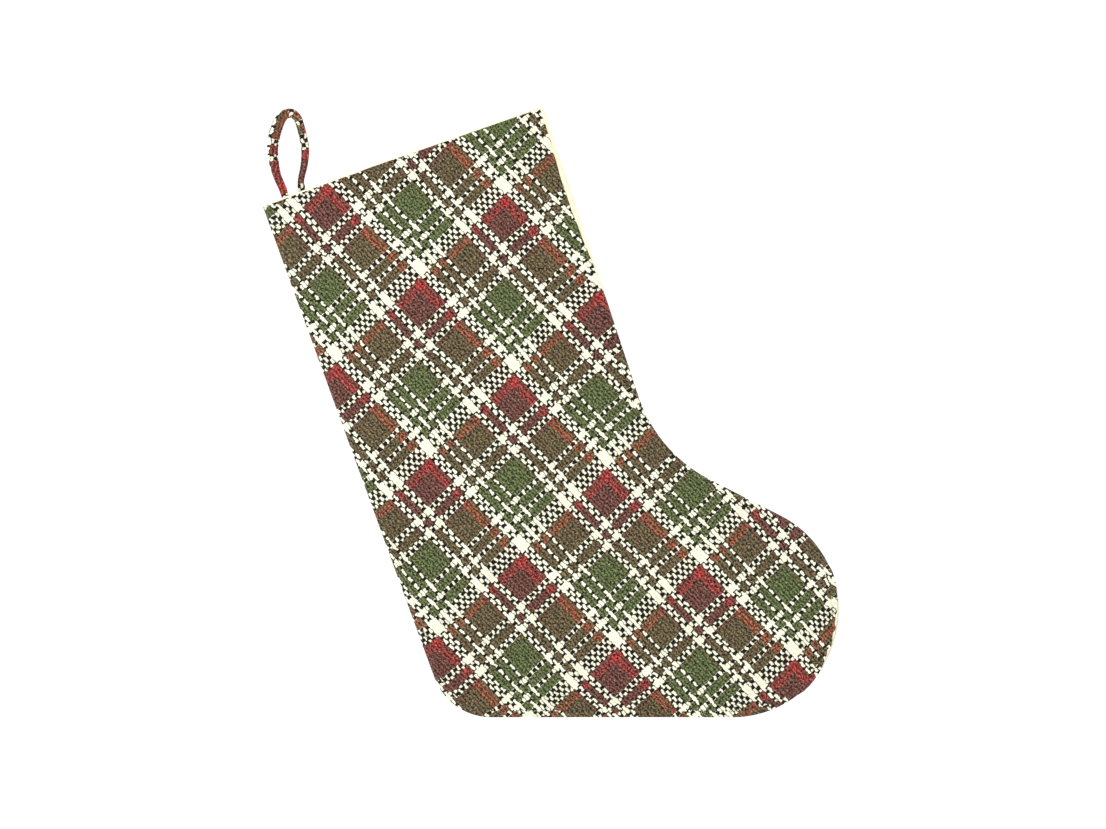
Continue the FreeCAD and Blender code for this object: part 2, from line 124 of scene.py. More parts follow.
def stocking_outline(step, beyond=0.0):
    """The seam line from the mouth's left end, round heel and toe, to its right end, with outward normals."""
    foot_way = heading(180 - INSTEP_ANGLE)
    sole_z = -SOLE_DEPTH
    heel_corner = crossing(CUFF_LEFT, UP_HEEL_SIDE, np.array([0, sole_z]), heading(0))
    heel_tangent = HEEL_RADIUS * math.tan(math.radians(90 - HEEL_SIDE_ANGLE) / 2)
    heel_start = heel_corner + heel_tangent * UP_HEEL_SIDE
    heel_end = heel_corner + np.array([heel_tangent, 0])
    heel_centre = heel_end + np.array([0, HEEL_RADIUS])
    toe_centre = np.array([TOE_CENTRE_X, sole_z + TOE_RADIUS])
    toe_start = toe_centre - np.array([0, TOE_RADIUS])
    toe_end = toe_centre + TOE_RADIUS * heading(90 - INSTEP_ANGLE)
    instep_corner = crossing(CUFF_RIGHT, UP_FRONT_SIDE, toe_end, foot_way)
    instep_tangent = INSTEP_RADIUS * math.tan(math.radians(90 - INSTEP_ANGLE - FRONT_SIDE_ANGLE) / 2)
    foot_end = instep_corner - instep_tangent * foot_way
    leg_start = instep_corner + instep_tangent * UP_FRONT_SIDE
    instep_centre = leg_start + INSTEP_RADIUS * heading(FRONT_SIDE_ANGLE)
    runs = [
        line(CUFF_LEFT + beyond * UP_HEEL_SIDE, heel_start, step),
        arc(heel_centre, HEEL_RADIUS, 180 + HEEL_SIDE_ANGLE, 270, step),
        line(heel_end, toe_start, step),
        arc(toe_centre, TOE_RADIUS, -90, 90 - INSTEP_ANGLE, step),
        line(toe_end, foot_end, step),
        arc(instep_centre, INSTEP_RADIUS, 270 - INSTEP_ANGLE, 180 + FRONT_SIDE_ANGLE, step),
        line(leg_start, CUFF_RIGHT + beyond * UP_FRONT_SIDE, step),
    ]
    points = np.vstack([run[0] for run in runs] + [CUFF_RIGHT + beyond * UP_FRONT_SIDE])
    normals = np.vstack([run[1] for run in runs] + [runs[-1][1][-1]])
    return points, normals


SEAM_LINE, _ = stocking_outline(3 * MM, MOUTH_EXTRA)
SEAM_STEPS = np.diff(SEAM_LINE, axis=0)
SEAM_LENGTHS = np.linalg.norm(SEAM_STEPS, axis=1)
SEAM_RUNS = np.concatenate([[0], np.cumsum(SEAM_LENGTHS)])


def to_seam(points, batch=4000):
    """For each point, how far the seam line is and how far along the seam its nearest point lies."""
    far = np.empty(len(points))
    run = np.empty(len(points))
    for at in range(0, len(points), batch):
        gap = points[at : at + batch, None, :] - SEAM_LINE[None, :-1, :]
        share = np.clip((gap * SEAM_STEPS).sum(2) / SEAM_LENGTHS**2, 0, 1)
        off = np.linalg.norm(gap - share[:, :, None] * SEAM_STEPS, axis=2)
        nearest = off.argmin(1)
        rows = np.arange(len(nearest))
        far[at : at + batch] = off[rows, nearest]
        run[at : at + batch] = SEAM_RUNS[nearest] + share[rows, nearest] * SEAM_LENGTHS[nearest]
    return far, run


def above_cuff(points):
    """How far above the cuff line each point is; below it is negative."""
    return (points - CUFF_LEFT) @ UP_FROM_CUFF


def smooth(value, low, high):
    """0 below low, 1 above high, and a smooth step between them."""
    share = np.clip((value - low) / (high - low), 0, 1)
    return share * share * (3 - 2 * share)


def depth(inset):
    """How far the outer surface stands out from the seam plane, at a distance in from the seam."""
    inset = np.maximum(inset, 0)
    edge = EDGE_DEPTH * (1 - np.exp(-inset / EDGE_REACH))
    return edge + PUFF_DEPTH * (1 - np.exp(-((inset / PUFF_REACH) ** PUFF_POWER)))


def inside(points, ring):
    """Which points are inside a closed ring."""
    return inside_edges(points, zip(ring, np.roll(ring, -1, axis=0)))


def inside_edges(points, edges):
    """Which points are inside closed rings given as loose edges."""
    found = np.zeros(len(points), bool)
    for start, end in edges:
        spans = (start[1] > points[:, 1]) != (end[1] > points[:, 1])
        rise = (end[1] - start[1]) or 1e-12
        crosses = points[:, 0] < (end[0] - start[0]) * (points[:, 1] - start[1]) / rise + start[0]
        found ^= spans & crosses
    return found


# ------------ the plaid's yarns

PLAID_ORIGIN = np.array([103.57, -119.79]) * MM
END_WAY = heading(-45.7)
PICK_WAY = heading(-135.3)
END_STRIPES = (
    ("cream", 7), ("dark", 2), ("red", 2), ("maroon", 11), ("cream", 3), ("maroon", 4), ("cream", 3),
    ("olive", 2), ("green", 12), ("cream", 2), ("green", 4), ("cream", 2), ("green", 4),
)
PICK_STRIPES = (
    ("cream", 3), ("dark", 1), ("red", 2), ("maroon", 7), ("cream", 2), ("maroon", 2), ("cream", 2),
    ("olive", 1), ("green", 7), ("cream", 1), ("green", 2), ("cream", 1), ("green", 2),
)
ENDS = sum(count for _, count in END_STRIPES)
PICKS = sum(count for _, count in PICK_STRIPES)
END_PITCH = 104.05 * MM / ENDS
PICK_PITCH = 93.0 * MM / PICKS
FIRST_END = -4.4
FIRST_PICK = -1.6
YARN_RELIEF = 0.32 * MM
BOW = 0.8 * MM


def bow(points):
    """How far the yarns stray from straight lines."""
    x, z = points[:, 0] / (110 * MM), points[:, 1] / (90 * MM)
    across = np.sin(6.1 * x + 2.3 * z + 0.7) + 0.6 * np.sin(11.3 * z - 4.1 * x + 2.1)
    along = np.sin(5.3 * z - 3.1 * x + 1.9) + 0.6 * np.sin(9.7 * x + 3.7 * z)
    return np.column_stack([across, along]) * BOW / 1.6


def yarns_at(points):
    """The end and pick numbers at places on the plaid cloth, counted from the first stripe."""
    from_origin = points + bow(points) - PLAID_ORIGIN
    ends = from_origin @ END_WAY / END_PITCH - FIRST_END
    picks = from_origin @ PICK_WAY / PICK_PITCH - FIRST_PICK
    return np.column_stack([ends, picks])


def place_of(yarns):
    """The place on the cloth of given end and pick numbers."""
    ends = (yarns[:, :1] + FIRST_END) * END_PITCH * END_WAY
    picks = (yarns[:, 1:] + FIRST_PICK) * PICK_PITCH * PICK_WAY
    straight = PLAID_ORIGIN + ends + picks
    return straight - bow(straight - bow(straight))


def yarn_relief(yarns):
    """The height of the half-basket weave: pairs of ends float over one pick, then one pick over a pair."""
    ends, picks = yarns[:, 0], yarns[:, 1]
    end_on_top = (np.floor(ends / 2) + np.floor(picks)) % 2 < 0.5
    across_end = np.abs(np.sin(np.pi * ends)) ** 0.6
    across_pick = np.abs(np.sin(np.pi * picks)) ** 0.6
    across_pair = np.abs(np.sin(np.pi * ends / 2)) ** 0.5
    end_float = across_end * (0.35 + 0.65 * across_pick)
    pick_float = across_pick * (0.35 + 0.65 * across_pair)
    return YARN_RELIEF * np.where(end_on_top, end_float, pick_float)


# ------------ cloth simulation of the outer bag

SIM_STEP = 6.0 * MM
SIM_FRAMES = 24
SIM_CAP = 1.6 * MM
ON_SEAM = 1e-5
CLOTH_SETTINGS = {
    "quality": 6,
    "mass": 0.25,
    "tension_stiffness": 20,
    "compression_stiffness": 20,
    "shear_stiffness": 8,
    "bending_stiffness": 1.5,
    "air_damping": 2,
    "shrink_min": -0.008,
    "use_pressure": True,
    "uniform_pressure_force": 0.25,
}


def hex_points(low, high, step):
    """Points of a triangular grid over a box."""
    rows = np.arange(low[1], high[1], step * math.sqrt(3) / 2)
    columns = np.arange(low[0], high[0], step)
    grid = []
    for at, z in enumerate(rows):
        grid.append(np.column_stack([columns + step / 2 * (at % 2), np.full(len(columns), z)]))
    return np.vstack(grid)


def triangles_in(ring, inner, edges=None):
    """Delaunay triangles of a closed ring and points inside it."""
    points = np.vstack([ring, inner]) if len(inner) else ring
    count = len(ring)
    around = [(at, (at + 1) % count) for at in range(count)] + list(edges or [])
    made = delaunay_2d_cdt([Vector(p) for p in points], around, [], 0, 1e-7)
    verts = np.array([tuple(v) for v in made[0]])
    faces = np.array(made[2])
    return verts, faces


def coarse_bag():
    """The flat bag as triangles: points, triangles and how far each point is from the seam."""
    ring, _ = stocking_outline(SIM_STEP)
    mouth = ring[-1] + np.linspace(0, 1, round(CUFF_WIDTH / SIM_STEP) + 1)[1:-1, None] * (ring[0] - ring[-1])
    closed = np.vstack([ring, mouth])
    grid = hex_points(closed.min(0), closed.max(0), SIM_STEP)
    grid = grid[inside(grid, closed)]
    far, _ = to_seam(grid)
    grid = grid[(far > 0.6 * SIM_STEP) & (above_cuff(grid) < -0.6 * SIM_STEP)]
    verts, faces = triangles_in(closed, grid)
    centres = verts[faces].mean(1)
    faces = faces[inside(centres, closed)]
    far, _ = to_seam(verts)
    return verts, faces, far


def simulate_bag(verts, faces, far):
    """Lets gentle pressure settle the loose cloth of both sides; returns how far each point moved."""
    count = len(verts)
    on_seam = far < ON_SEAM
    back_at = np.arange(count)
    back_at[~on_seam] = count + np.arange((~on_seam).sum())
    out = depth(far)
    front = np.column_stack([verts[:, 0], SEAM_Y - out, verts[:, 1]])
    back = np.column_stack([verts[:, 0], SEAM_Y + out, verts[:, 1]])[~on_seam]
    start = np.vstack([front, back])
    start[:count][on_seam, 1] = SEAM_Y
    tris = np.vstack([faces, back_at[faces][:, ::-1]])
    mesh = bpy.data.meshes.new("bag_to_settle")
    mesh.from_pydata(start.tolist(), [], tris.tolist())
    mesh.update()
    bag = bpy.data.objects.new("bag_to_settle", mesh)
    bpy.context.scene.collection.objects.link(bag)
    pinned = bag.vertex_groups.new(name="seam")
    pinned.add([int(at) for at in np.flatnonzero(on_seam)], 1.0, "REPLACE")
    cloth = bag.modifiers.new("Cloth", "CLOTH")
    cloth.settings.vertex_group_mass = "seam"
    for setting, value in CLOTH_SETTINGS.items():
        setattr(cloth.settings, setting, value)
    cloth.settings.effector_weights.gravity = 0
    cloth.collision_settings.use_self_collision = False
    cloth.collision_settings.use_collision = False
    cloth.point_cache.frame_start = 1
    cloth.point_cache.frame_end = SIM_FRAMES
    for at in range(1, SIM_FRAMES + 1):
        bpy.context.scene.frame_set(at)
    settled = bag.evaluated_get(bpy.context.evaluated_depsgraph_get()).to_mesh()
    end = np.zeros(len(settled.vertices) * 3)
    settled.vertices.foreach_get("co", end)
    moved = end.reshape(-1, 3) - start
    bpy.context.scene.frame_set(1)
    bpy.data.objects.remove(bag)
    bpy.data.meshes.remove(mesh)
    length = np.linalg.norm(moved, axis=1, keepdims=True)
    moved *= SIM_CAP * np.tanh(length / SIM_CAP) / np.maximum(length, 1e-9)
    return {FRONT: moved[:count], BACK: moved[back_at]}


class Settled:
    """The simulated bag's movement, looked up at any place on either side."""

    def __init__(self):
        self.verts, self.faces, far = coarse_bag()
        self.moves = simulate_bag(self.verts, self.faces, far)
        flat = [Vector((x, z, 0)) for x, z in self.verts]
        self.tree = BVHTree.FromPolygons(flat, self.faces.tolist())

    def at(self, points, side):
        """Movement at places on one side, interpolated within the triangles of the coarse bag."""
        hits = [self.tree.find_nearest(Vector((x, z, 0))) for x, z in points]
        tri = self.faces[[hit[2] for hit in hits]]
        near = np.array([hit[0][:2] for hit in hits])
        a, b, c = (self.verts[tri[:, corner]] for corner in range(3))
        ab, ac, ap = b - a, c - a, near - a
        area = ab[:, 0] * ac[:, 1] - ab[:, 1] * ac[:, 0]
        to_b = (ap[:, 0] * ac[:, 1] - ap[:, 1] * ac[:, 0]) / area
        to_c = (ab[:, 0] * ap[:, 1] - ab[:, 1] * ap[:, 0]) / area
        moves = self.moves[side][tri]
        shares = np.column_stack([1 - to_b - to_c, to_b, to_c])
        return (shares[:, :, None] * moves).sum(1)


settled = Settled()

PUCKER = 0.35 * MM
PUCKER_REACH = 9.0 * MM
PUCKER_WAVES = ((7.3, 0.4), (11.9, 1.7), (17.1, 2.9), (29.0, 0.2))


def pucker(far, run):
    """The seam's small gathers: waves along the seam that die out away from it."""
    wave = sum(np.sin(2 * math.pi * run / (length * MM) + turn) for length, turn in PUCKER_WAVES)
    return PUCKER / 2 * wave * np.exp(-far / PUCKER_REACH) * smooth(far, 0, 1.5 * MM)


def shift(points, side):
    """Settled movement and seam gathers at places on one side, as three columns."""
    far, run = to_seam(points)
    moved = settled.at(points, side)
    moved[:, 1] += side * pucker(far, run)
    return moved


# ------------ meshes from patches


class Patches:
    """Grids and fills gathered into one mesh; points that coincide are welded."""

    def __init__(self):
        self.places = []
        self.cloth = []
        self.faces = []
        self.count = 0

    def add(self, places, cloth, faces):
        self.places.append(places)
        self.cloth.append(cloth)
        self.faces += [tuple(int(at) + self.count for at in face) for face in faces]
        self.count += len(places)

    def add_grid(self, places, cloth, flip=False):
        """A grid of points, rows by columns, as quads."""
        rows, columns = places.shape[:2]
        numbers = np.arange(rows * columns).reshape(rows, columns)
        quads = np.stack([numbers[:-1, :-1], numbers[1:, :-1], numbers[1:, 1:], numbers[:-1, 1:]], -1)
        quads = quads.reshape(-1, 4)
        self.add(places.reshape(-1, 3), cloth.reshape(-1, 2), quads[:, ::-1] if flip else quads)

    def object(self, name, weld=0.02 * MM):
        mesh = bpy.data.meshes.new(name)
        mesh.from_pydata(np.vstack(self.places).tolist(), [], self.faces)
        weave = mesh.attributes.new("weave", "FLOAT_VECTOR", "POINT")
        cloth = np.column_stack([np.vstack(self.cloth), np.zeros(self.count)])
        weave.data.foreach_set("vector", cloth.astype(np.float32).ravel())
        return finished(name, mesh, weld)


def finished(name, mesh, weld):
    """Welds a mesh, points its faces outwards and makes its object."""
    work = bmesh.new()
    work.from_mesh(mesh)
    bmesh.ops.remove_doubles(work, verts=work.verts, dist=weld)
    bmesh.ops.dissolve_degenerate(work, edges=work.edges, dist=1e-7)
    bmesh.ops.recalc_face_normals(work, faces=work.faces)
    work.to_mesh(mesh)
    work.free()
    mesh.shade_smooth()
    thing = bpy.data.objects.new(name, mesh)
    bpy.context.scene.collection.objects.link(thing)
    return thing


def stitched_fill(ring, lattice, numbers, margin):
    """Fills a closed ring with a lattice's own quads, and triangles between them and the ring.

    lattice gives the place of each (row, column) pair of numbers. Points nearer the ring than margin are left
    out.
    """
    spots = lattice(numbers)
    keep = inside(spots, ring[:: max(1, len(ring) // 400)])
    rows = np.flatnonzero(keep)
    tree = ring_tree(ring)
    near = np.array([tree.find(Vector((*spots[at], 0)))[2] for at in rows])
    keep[rows[near < margin]] = False
    low = numbers.min(0)
    span = numbers.max(0) - low + 1
    table = np.full(span, -1)
    table[tuple((numbers[keep] - low).T)] = np.flatnonzero(keep)
    corners = np.stack([table[:-1, :-1], table[1:, :-1], table[1:, 1:], table[:-1, 1:]], -1).reshape(-1, 4)
    quads = corners[(corners >= 0).all(1)]
    edges = np.concatenate([quads[:, [a, (a + 1) % 4]] for a in range(4)])
    key = np.sort(edges, 1)
    _, first, times = np.unique(key, axis=0, return_index=True, return_counts=True)
    open_edges = edges[first[times == 1]]
    used = np.unique(open_edges)
    at_of = {int(v): len(ring) + i for i, v in enumerate(used)}
    inner_edges = [(at_of[int(a)], at_of[int(b)]) for a, b in open_edges]
    verts, faces = triangles_in(ring, spots[used], inner_edges)
    centres = verts[faces].mean(1)
    wanted = inside(centres, ring)
    loops = np.array([(spots[a], spots[b]) for a, b in open_edges])
    wanted &= ~inside_edges(centres, loops)
    faces = faces[wanted]
    spare = len(verts)
    inner = np.unique(quads)
    renumber = {int(v): spare + i for i, v in enumerate(inner)}
    all_points = np.vstack([verts, spots[inner]])
    all_faces = [tuple(face) for face in faces.tolist()]
    all_faces += [tuple(renumber[int(v)] for v in quad) for quad in quads]
    exact = np.full((len(all_points), 2), np.nan)
    exact[spare:] = numbers[inner]
    return all_points, all_faces, exact


def ring_tree(ring):
    """The ring's points, ready for finding the nearest one."""
    tree = KDTree(len(ring))
    for at, point in enumerate(ring):
        tree.insert((*point, 0), at)
    tree.balance()
    return tree


# ------------ panels


def ring_points(outline, normals, inset, rise):
    """The outline moved in by inset, with its two ends slid onto the mouth line."""
    ring = outline - normals * np.broadcast_to(inset, len(outline))[:, None]
    base = CUFF_LEFT + rise * UP_FROM_CUFF
    ring[0] = crossing(ring[0], UP_HEEL_SIDE, base, ALONG_CUFF)
    ring[-1] = crossing(ring[-1], UP_FRONT_SIDE, base, ALONG_CUFF)
    return ring


ROLL_HEIGHT = 4.5 * MM
LEAST_DEPTH = 0.15 * MM


def seam_roll(outline):
    """How far the seam rolls onto the front: only beside the leg's front edge, near the mouth."""
    drop = -above_cuff(outline)
    right = smooth((outline - CUFF_LEFT) @ ALONG_CUFF, 0.55 * CUFF_WIDTH, 0.75 * CUFF_WIDTH)
    grow = 0.55 + 0.45 * smooth(drop, 0, 60 * MM)
    fade = 1 - smooth(drop, 75 * MM, 165 * MM)
    return ROLL_HEIGHT * right * grow * fade


def edge_curve(tau, dip):
    """The bag's edge in section: inset and signed depth at a signed inset, sunk inwards by dip."""
    inset = np.abs(tau)
    signed = np.sign(tau) * depth(inset)
    step = 0.05 * MM
    ahead = np.abs(tau + step)
    way = np.stack([ahead - inset, np.sign(tau + step) * depth(ahead) - signed])
    way = way / np.maximum(np.linalg.norm(way, axis=0), 1e-12)
    return inset + dip * way[1], signed - dip * way[0]


def plain_cloth(points):
    """Plain cloth is numbered in metres."""
    return points.copy()


class Panel:
    """One panel: two faces, an edge that turns in as a seam allowance, and a mouth that turns over."""

    def __init__(self, name, side, numbering, rise, rim, edge, mouth, drops, room=None):
        self.name = name
        self.side = side
        self.numbering = numbering
        self.rise = rise
        self.rim = rim
        self.edge = edge
        self.mouth = mouth
        self.outer_drop, self.inner_drop = drops
        self.room = room or (lambda points: 0.0)
        self.patches = Patches()

    def skin(self, points, drop):
        """Places on the panel at a drop under the bag's outer surface."""
        far, _ = to_seam(points)
        lowered = np.maximum(depth(far) - drop - self.room(points), LEAST_DEPTH)
        y = SEAM_Y + self.side * lowered
        return np.column_stack([points[:, 0], y, points[:, 1]]) + shift(points, self.side)

    def place(self, points, signed_depth, flat):
        """Places at a depth measured from the seam plane towards this panel's side."""
        y = SEAM_Y + self.side * signed_depth
        return np.column_stack([points[:, 0], y, points[:, 1]]) + shift(flat, self.side)


def lattice_numbers(low, high):
    """Every (row, column) pair of whole numbers in a range."""
    rows, columns = np.meshgrid(np.arange(low[0], high[0]), np.arange(low[1], high[1]), indexing="ij")
    return np.column_stack([rows.ravel(), columns.ravel()])


def yarn_lattice(numbers):
    """Places at every half yarn."""
    return place_of(numbers / 2)


def yarn_lattice_range(ring):
    """The half-yarn numbers that cover a ring."""
    yarns = yarns_at(ring) * 2
    return lattice_numbers(np.floor(yarns.min(0)).astype(int) - 2, np.ceil(yarns.max(0)).astype(int) + 3)


EDGE_STEP = 1.3 * MM
MOUTH_STEP = 1.5 * MM
FACE_STEP = 2.2 * MM
INNER_STEP = 4.0 * MM
YARN_MARGIN = 0.7 * MM
FACE_MARGIN = 1.3 * MM
INNER_MARGIN = 2.4 * MM


def add_fill(panel, ring, drop, relief, lattice, numbers, margin):
    """A face inside a ring, meshed on a lattice, with the yarns' relief if asked."""
    spots, faces, exact = stitched_fill(ring, lattice, numbers, margin)
    places = panel.skin(spots, drop)
    cloth = panel.numbering(spots)
    if relief:
        whole = ~np.isnan(exact[:, 0])
        cloth[whole] = exact[whole] / 2
        places[:, 1] += panel.side * yarn_relief(cloth)
    panel.patches.add(places, cloth, faces)


def add_square_fill(panel, ring, drop, step, margin):
    """A smooth face inside a ring, meshed on a square lattice."""
    low = np.floor(ring.min(0) / step).astype(int) - 1
    high = np.ceil(ring.max(0) / step).astype(int) + 2
    add_fill(panel, ring, drop, False, lambda numbers: numbers * step, lattice_numbers(low, high), margin)


def build_panel(panel):
    """Makes the panel's mesh and object."""
    outline, normals = stocking_outline(EDGE_STEP)
    rim = np.broadcast_to(panel.rim(outline), len(outline))
    ring = ring_points(outline, normals, rim, panel.rise)
    count = round(float(np.linalg.norm(ring[-1] - ring[0])) / MOUTH_STEP)
    mouth = ring[-1] + np.arange(1, count)[:, None] / count * (ring[0] - ring[-1])
    closed = np.vstack([ring, mouth])
    whole_mouth = np.vstack([ring[-1:], mouth, ring[:1]])
    fine = panel.numbering is yarns_at
    if fine:
        add_fill(panel, closed, panel.outer_drop, True, yarn_lattice, yarn_lattice_range(closed), YARN_MARGIN)
    else:
        add_square_fill(panel, closed, panel.outer_drop, FACE_STEP, FACE_MARGIN)
    add_square_fill(panel, closed, panel.inner_drop, INNER_STEP, INNER_MARGIN)
    add_edge(panel, outline, normals, rim, fine)
    add_mouth(panel, whole_mouth, fine)
    return panel.patches.object(panel.name)


def add_ribbon(patches, outer, inner, cloth):
    """Closes two matching grids into a thick ribbon, apart from its first row."""
    patches.add_grid(outer, cloth)
    patches.add_grid(inner, cloth, flip=True)
    patches.add_grid(np.stack([outer[-1], inner[-1]]), np.stack([cloth[-1], cloth[-1]]))
    for column in (0, -1):
        ends = np.stack([outer[:, column], inner[:, column]])
        patches.add_grid(ends, np.stack([cloth[:, column]] * 2), flip=column == 0)


def add_edge(panel, outline, normals, rim, fine):
    """The rounded edge down to the seam, and the allowance turned in along the seam plane."""
    outer_rows, inner_rows, cloth_rows = [], [], []
    for outer_at, inner_at, flat_inset in panel.edge(outline, rim):
        cloth_rows.append(panel.numbering(ring_points(outline, normals, flat_inset, panel.rise)))
        for rows, (inset, signed) in ((outer_rows, outer_at), (inner_rows, inner_at)):
            at = ring_points(outline, normals, inset, panel.rise)
            rows.append(panel.place(at, np.broadcast_to(signed, len(at)), at))
    face_edge = ring_points(outline, normals, rim, panel.rise)
    outer_rows[0] = panel.skin(face_edge, panel.outer_drop)
    inner_rows[0] = panel.skin(face_edge, panel.inner_drop)
    if fine:
        raise_yarns(panel, outer_rows, cloth_rows)
    add_ribbon(panel.patches, np.array(outer_rows), np.array(inner_rows), np.array(cloth_rows))


def raise_yarns(panel, rows, cloth_rows):
    """Gives the half of the rows that shows the yarns' relief."""
    for row, cloth in list(zip(rows, cloth_rows))[: len(rows) // 2]:
        row[:, 1] += panel.side * yarn_relief(cloth)


def add_mouth(panel, mouth, fine):
    """The mouth's edge turned over: towards the inside on the outer bag, outwards on the lining."""
    outer_rows, inner_rows, cloth_rows = [], [], []
    run = 0.0
    last = panel.mouth[0][0]
    for outer_at, inner_at in panel.mouth:
        run += math.dist(outer_at, last)
        last = outer_at
        for rows, (drop, up) in ((outer_rows, outer_at), (inner_rows, inner_at)):
            rows.append(panel.skin(mouth + up * UP_FROM_CUFF, drop))
        cloth_rows.append(panel.numbering(mouth + run * UP_FROM_CUFF))
    if fine:
        raise_yarns(panel, outer_rows, cloth_rows)
    add_ribbon(panel.patches, np.array(outer_rows), np.array(inner_rows), np.array(cloth_rows))


OUTER_RIM = 4.6 * MM
ROLLED_RIM = 3.4 * MM
EDGE_SHARES = (0.0, 0.12, 0.25, 0.38, 0.5, 0.62, 0.74, 0.84, 0.92, 0.97, 1.0)
ALLOWANCE_REACHES = (1.6 * MM, 3.0 * MM, 5.5 * MM, SEAM_ALLOWANCE)
SEAM_DIP = 0.5 * MM
PLY_GAP = 0.06 * MM
INNER_EDGE_INSET = 0.9 * MM


def outer_rim(outline):
    return OUTER_RIM + ROLLED_RIM * seam_roll(outline) / ROLL_HEIGHT


def outer_edge(side):
    """Stations of an outer panel's edge, face to raw edge: outer point, inner point and flat inset."""

    def stations(outline, rim):
        seam = seam_roll(outline)
        start = -side * rim
        turned = -side * seam
        rows = []
        for share in EDGE_SHARES:
            tau = start + (seam - start) * share
            dip = SEAM_DIP * smooth(share, 0.9, 1.0)
            outer_inset, outer_depth = edge_curve(tau, dip)
            inner_inset, inner_depth = edge_curve(tau, dip + PLAID_CLOTH)
            outer = (outer_inset, -side * outer_depth)
            inner = (np.maximum(inner_inset, INNER_EDGE_INSET), -side * inner_depth)
            rows.append((outer, inner, rim - (rim - turned) * share))
        for reach in ALLOWANCE_REACHES:
            inset = seam + reach
            rows.append(((inset, PLY_GAP), (inset, PLY_GAP + PLAID_CLOTH), turned - reach))
        return rows

    return stations


def half_turn(centre, first_radius, second_radius, rise_sign):
    """Pairs of points round a fold's half turn, as drops and heights above the mouth."""
    rows = []
    for degrees in (0, 35, 70, 110, 145, 180):
        turn = math.radians(degrees)
        out, up = rise_sign * math.cos(turn), math.sin(turn)
        first = (centre + first_radius * out, first_radius * up)
        second = (centre + second_radius * out, second_radius * up)
        rows.append((first, second))
    return rows


def fold_inwards():
    """Stations of the turned hem: over the fold, then down inside the face."""
    outer, inner = PLAID_CLOTH + PLY_GAP, PLY_GAP
    rows = half_turn(outer, outer, inner, -1)
    for down in (3 * MM, 6 * MM, 9 * MM, TURNED_HEM):
        rows.append(((2 * outer, -down), (outer + inner, -down)))
    return rows


FRONT_RISE = -1.05 * MM
BACK_PROUD = 1.4 * MM
LINING_DROP = 3.9 * MM
LINING_RISE = -0.4 * MM
LINING_FOLD = 0.5 * MM
LINING_INSET = 11.0 * MM
LINING_INSET_BELOW = 7.0 * MM
LINING_TURN = 3.2 * MM


def lining_rim(outline):
    """The lining's seam lies close to the side seam at the mouth and further in below."""
    drop = -above_cuff(outline)
    return LINING_INSET + LINING_INSET_BELOW * smooth(drop, 2 * MM, 45 * MM)


def lining_edge(outline, rim):
    """Stations of a lining panel's edge: a tight bend, then an allowance that points outwards."""
    thick = LINING_CLOTH
    rows = []
    for share in (0.0, 0.25, 0.5, 0.72, 0.88, 1.0):
        inset = rim - LINING_TURN * share
        face = np.maximum(depth(inset) - LINING_DROP, 0)
        level = np.maximum(face * (1 - share) + thick * share, thick)
        inner_level = level - thick * (1 - share) - (thick - PLY_GAP) * share
        rows.append(((inset, level), (inset + 0.45 * MM * share, inner_level), inset))
    for reach in (1.2 * MM, 2.6 * MM, 4.4 * MM):
        inset = rim - LINING_TURN - reach
        rows.append(((inset, thick), (inset, PLY_GAP), inset))
    return rows


def fold_outwards():
    """Stations of the lining's top: up, over towards the hem and down between the hem and the lining."""
    centre = LINING_DROP - LINING_FOLD
    near, far = LINING_FOLD, LINING_FOLD + LINING_CLOTH
    rows = half_turn(centre, near, far, 1)
    for down in (2.5 * MM, 5.0 * MM, 7.5 * MM):
        rows.append(((centre - near, -down), (centre - far, -down)))
    return rows


TAILS_AT = (19.3 * MM, 33.6 * MM)
TAIL_ROOM = 1.8 * MM
LINING_CUT_INSET = 10.0 * MM
LINING_TURNED = 9.5 * MM


def tail_room(points):
    """How much further in the back lining lies, round the tails of the loop."""
    along = (points - CUFF_LEFT) @ ALONG_CUFF
    low, high = TAILS_AT[0] - 4 * MM, TAILS_AT[1] + 4 * MM
    beside = smooth(along, low - 7 * MM, low) * (1 - smooth(along, high, high + 9 * MM))
    return TAIL_ROOM * beside * smooth(above_cuff(points), -32 * MM, -15 * MM)


# ------------ hanging loop

HEM_DROP = 2.1 * MM
TAIL_THICK = 1.8 * MM
TAIL_DEPTH = 14.0 * MM
TAIL_WIDTH = 6.2 * MM
LOOP_FOOT_THICK = 4.0 * MM
LOOP_FOOT_NARROWING = 0.6 * MM
STRIP_CLOTH = 1.0 * MM
STRIP_FLAP = 3.6 * MM
STRIP_STEP = 0.9 * MM
FIRST_LOOP_END = 4.4

# centre x and z, width across, thickness front to back (all mm), twist in degrees and the pick at the outer
# fold, from left foot to right foot
LOOP_STATIONS = (
    (-5.6, -55.6, 5.8, 4.2, 3, 3.6),
    (-11.0, -42.6, 6.4, 4.4, 18, 3.1),
    (-13.9, -24.0, 8.4, 5.4, 34, 2.3),
    (-11.0, -8.6, 8.8, 5.8, 38, 2.2),
    (-6.0, 1.2, 7.6, 5.4, 30, 2.7),
    (0.4, 3.9, 6.8, 5.2, 18, 3.9),
    (4.8, 1.4, 6.4, 5.0, 12, 4.4),
    (7.9, -4.6, 6.0, 4.8, 8, 4.9),
    (12.0, -22.8, 6.0, 4.8, 8, 5.0),
    (11.4, -36.0, 5.4, 4.4, 2, 5.3),
    (8.8, -48.6, 4.7, 4.2, 0, 5.6),
)
LEFT_FOLD_PICK = 3.6
RIGHT_FOLD_PICK = 5.6
SPLINE_SHARES = 24


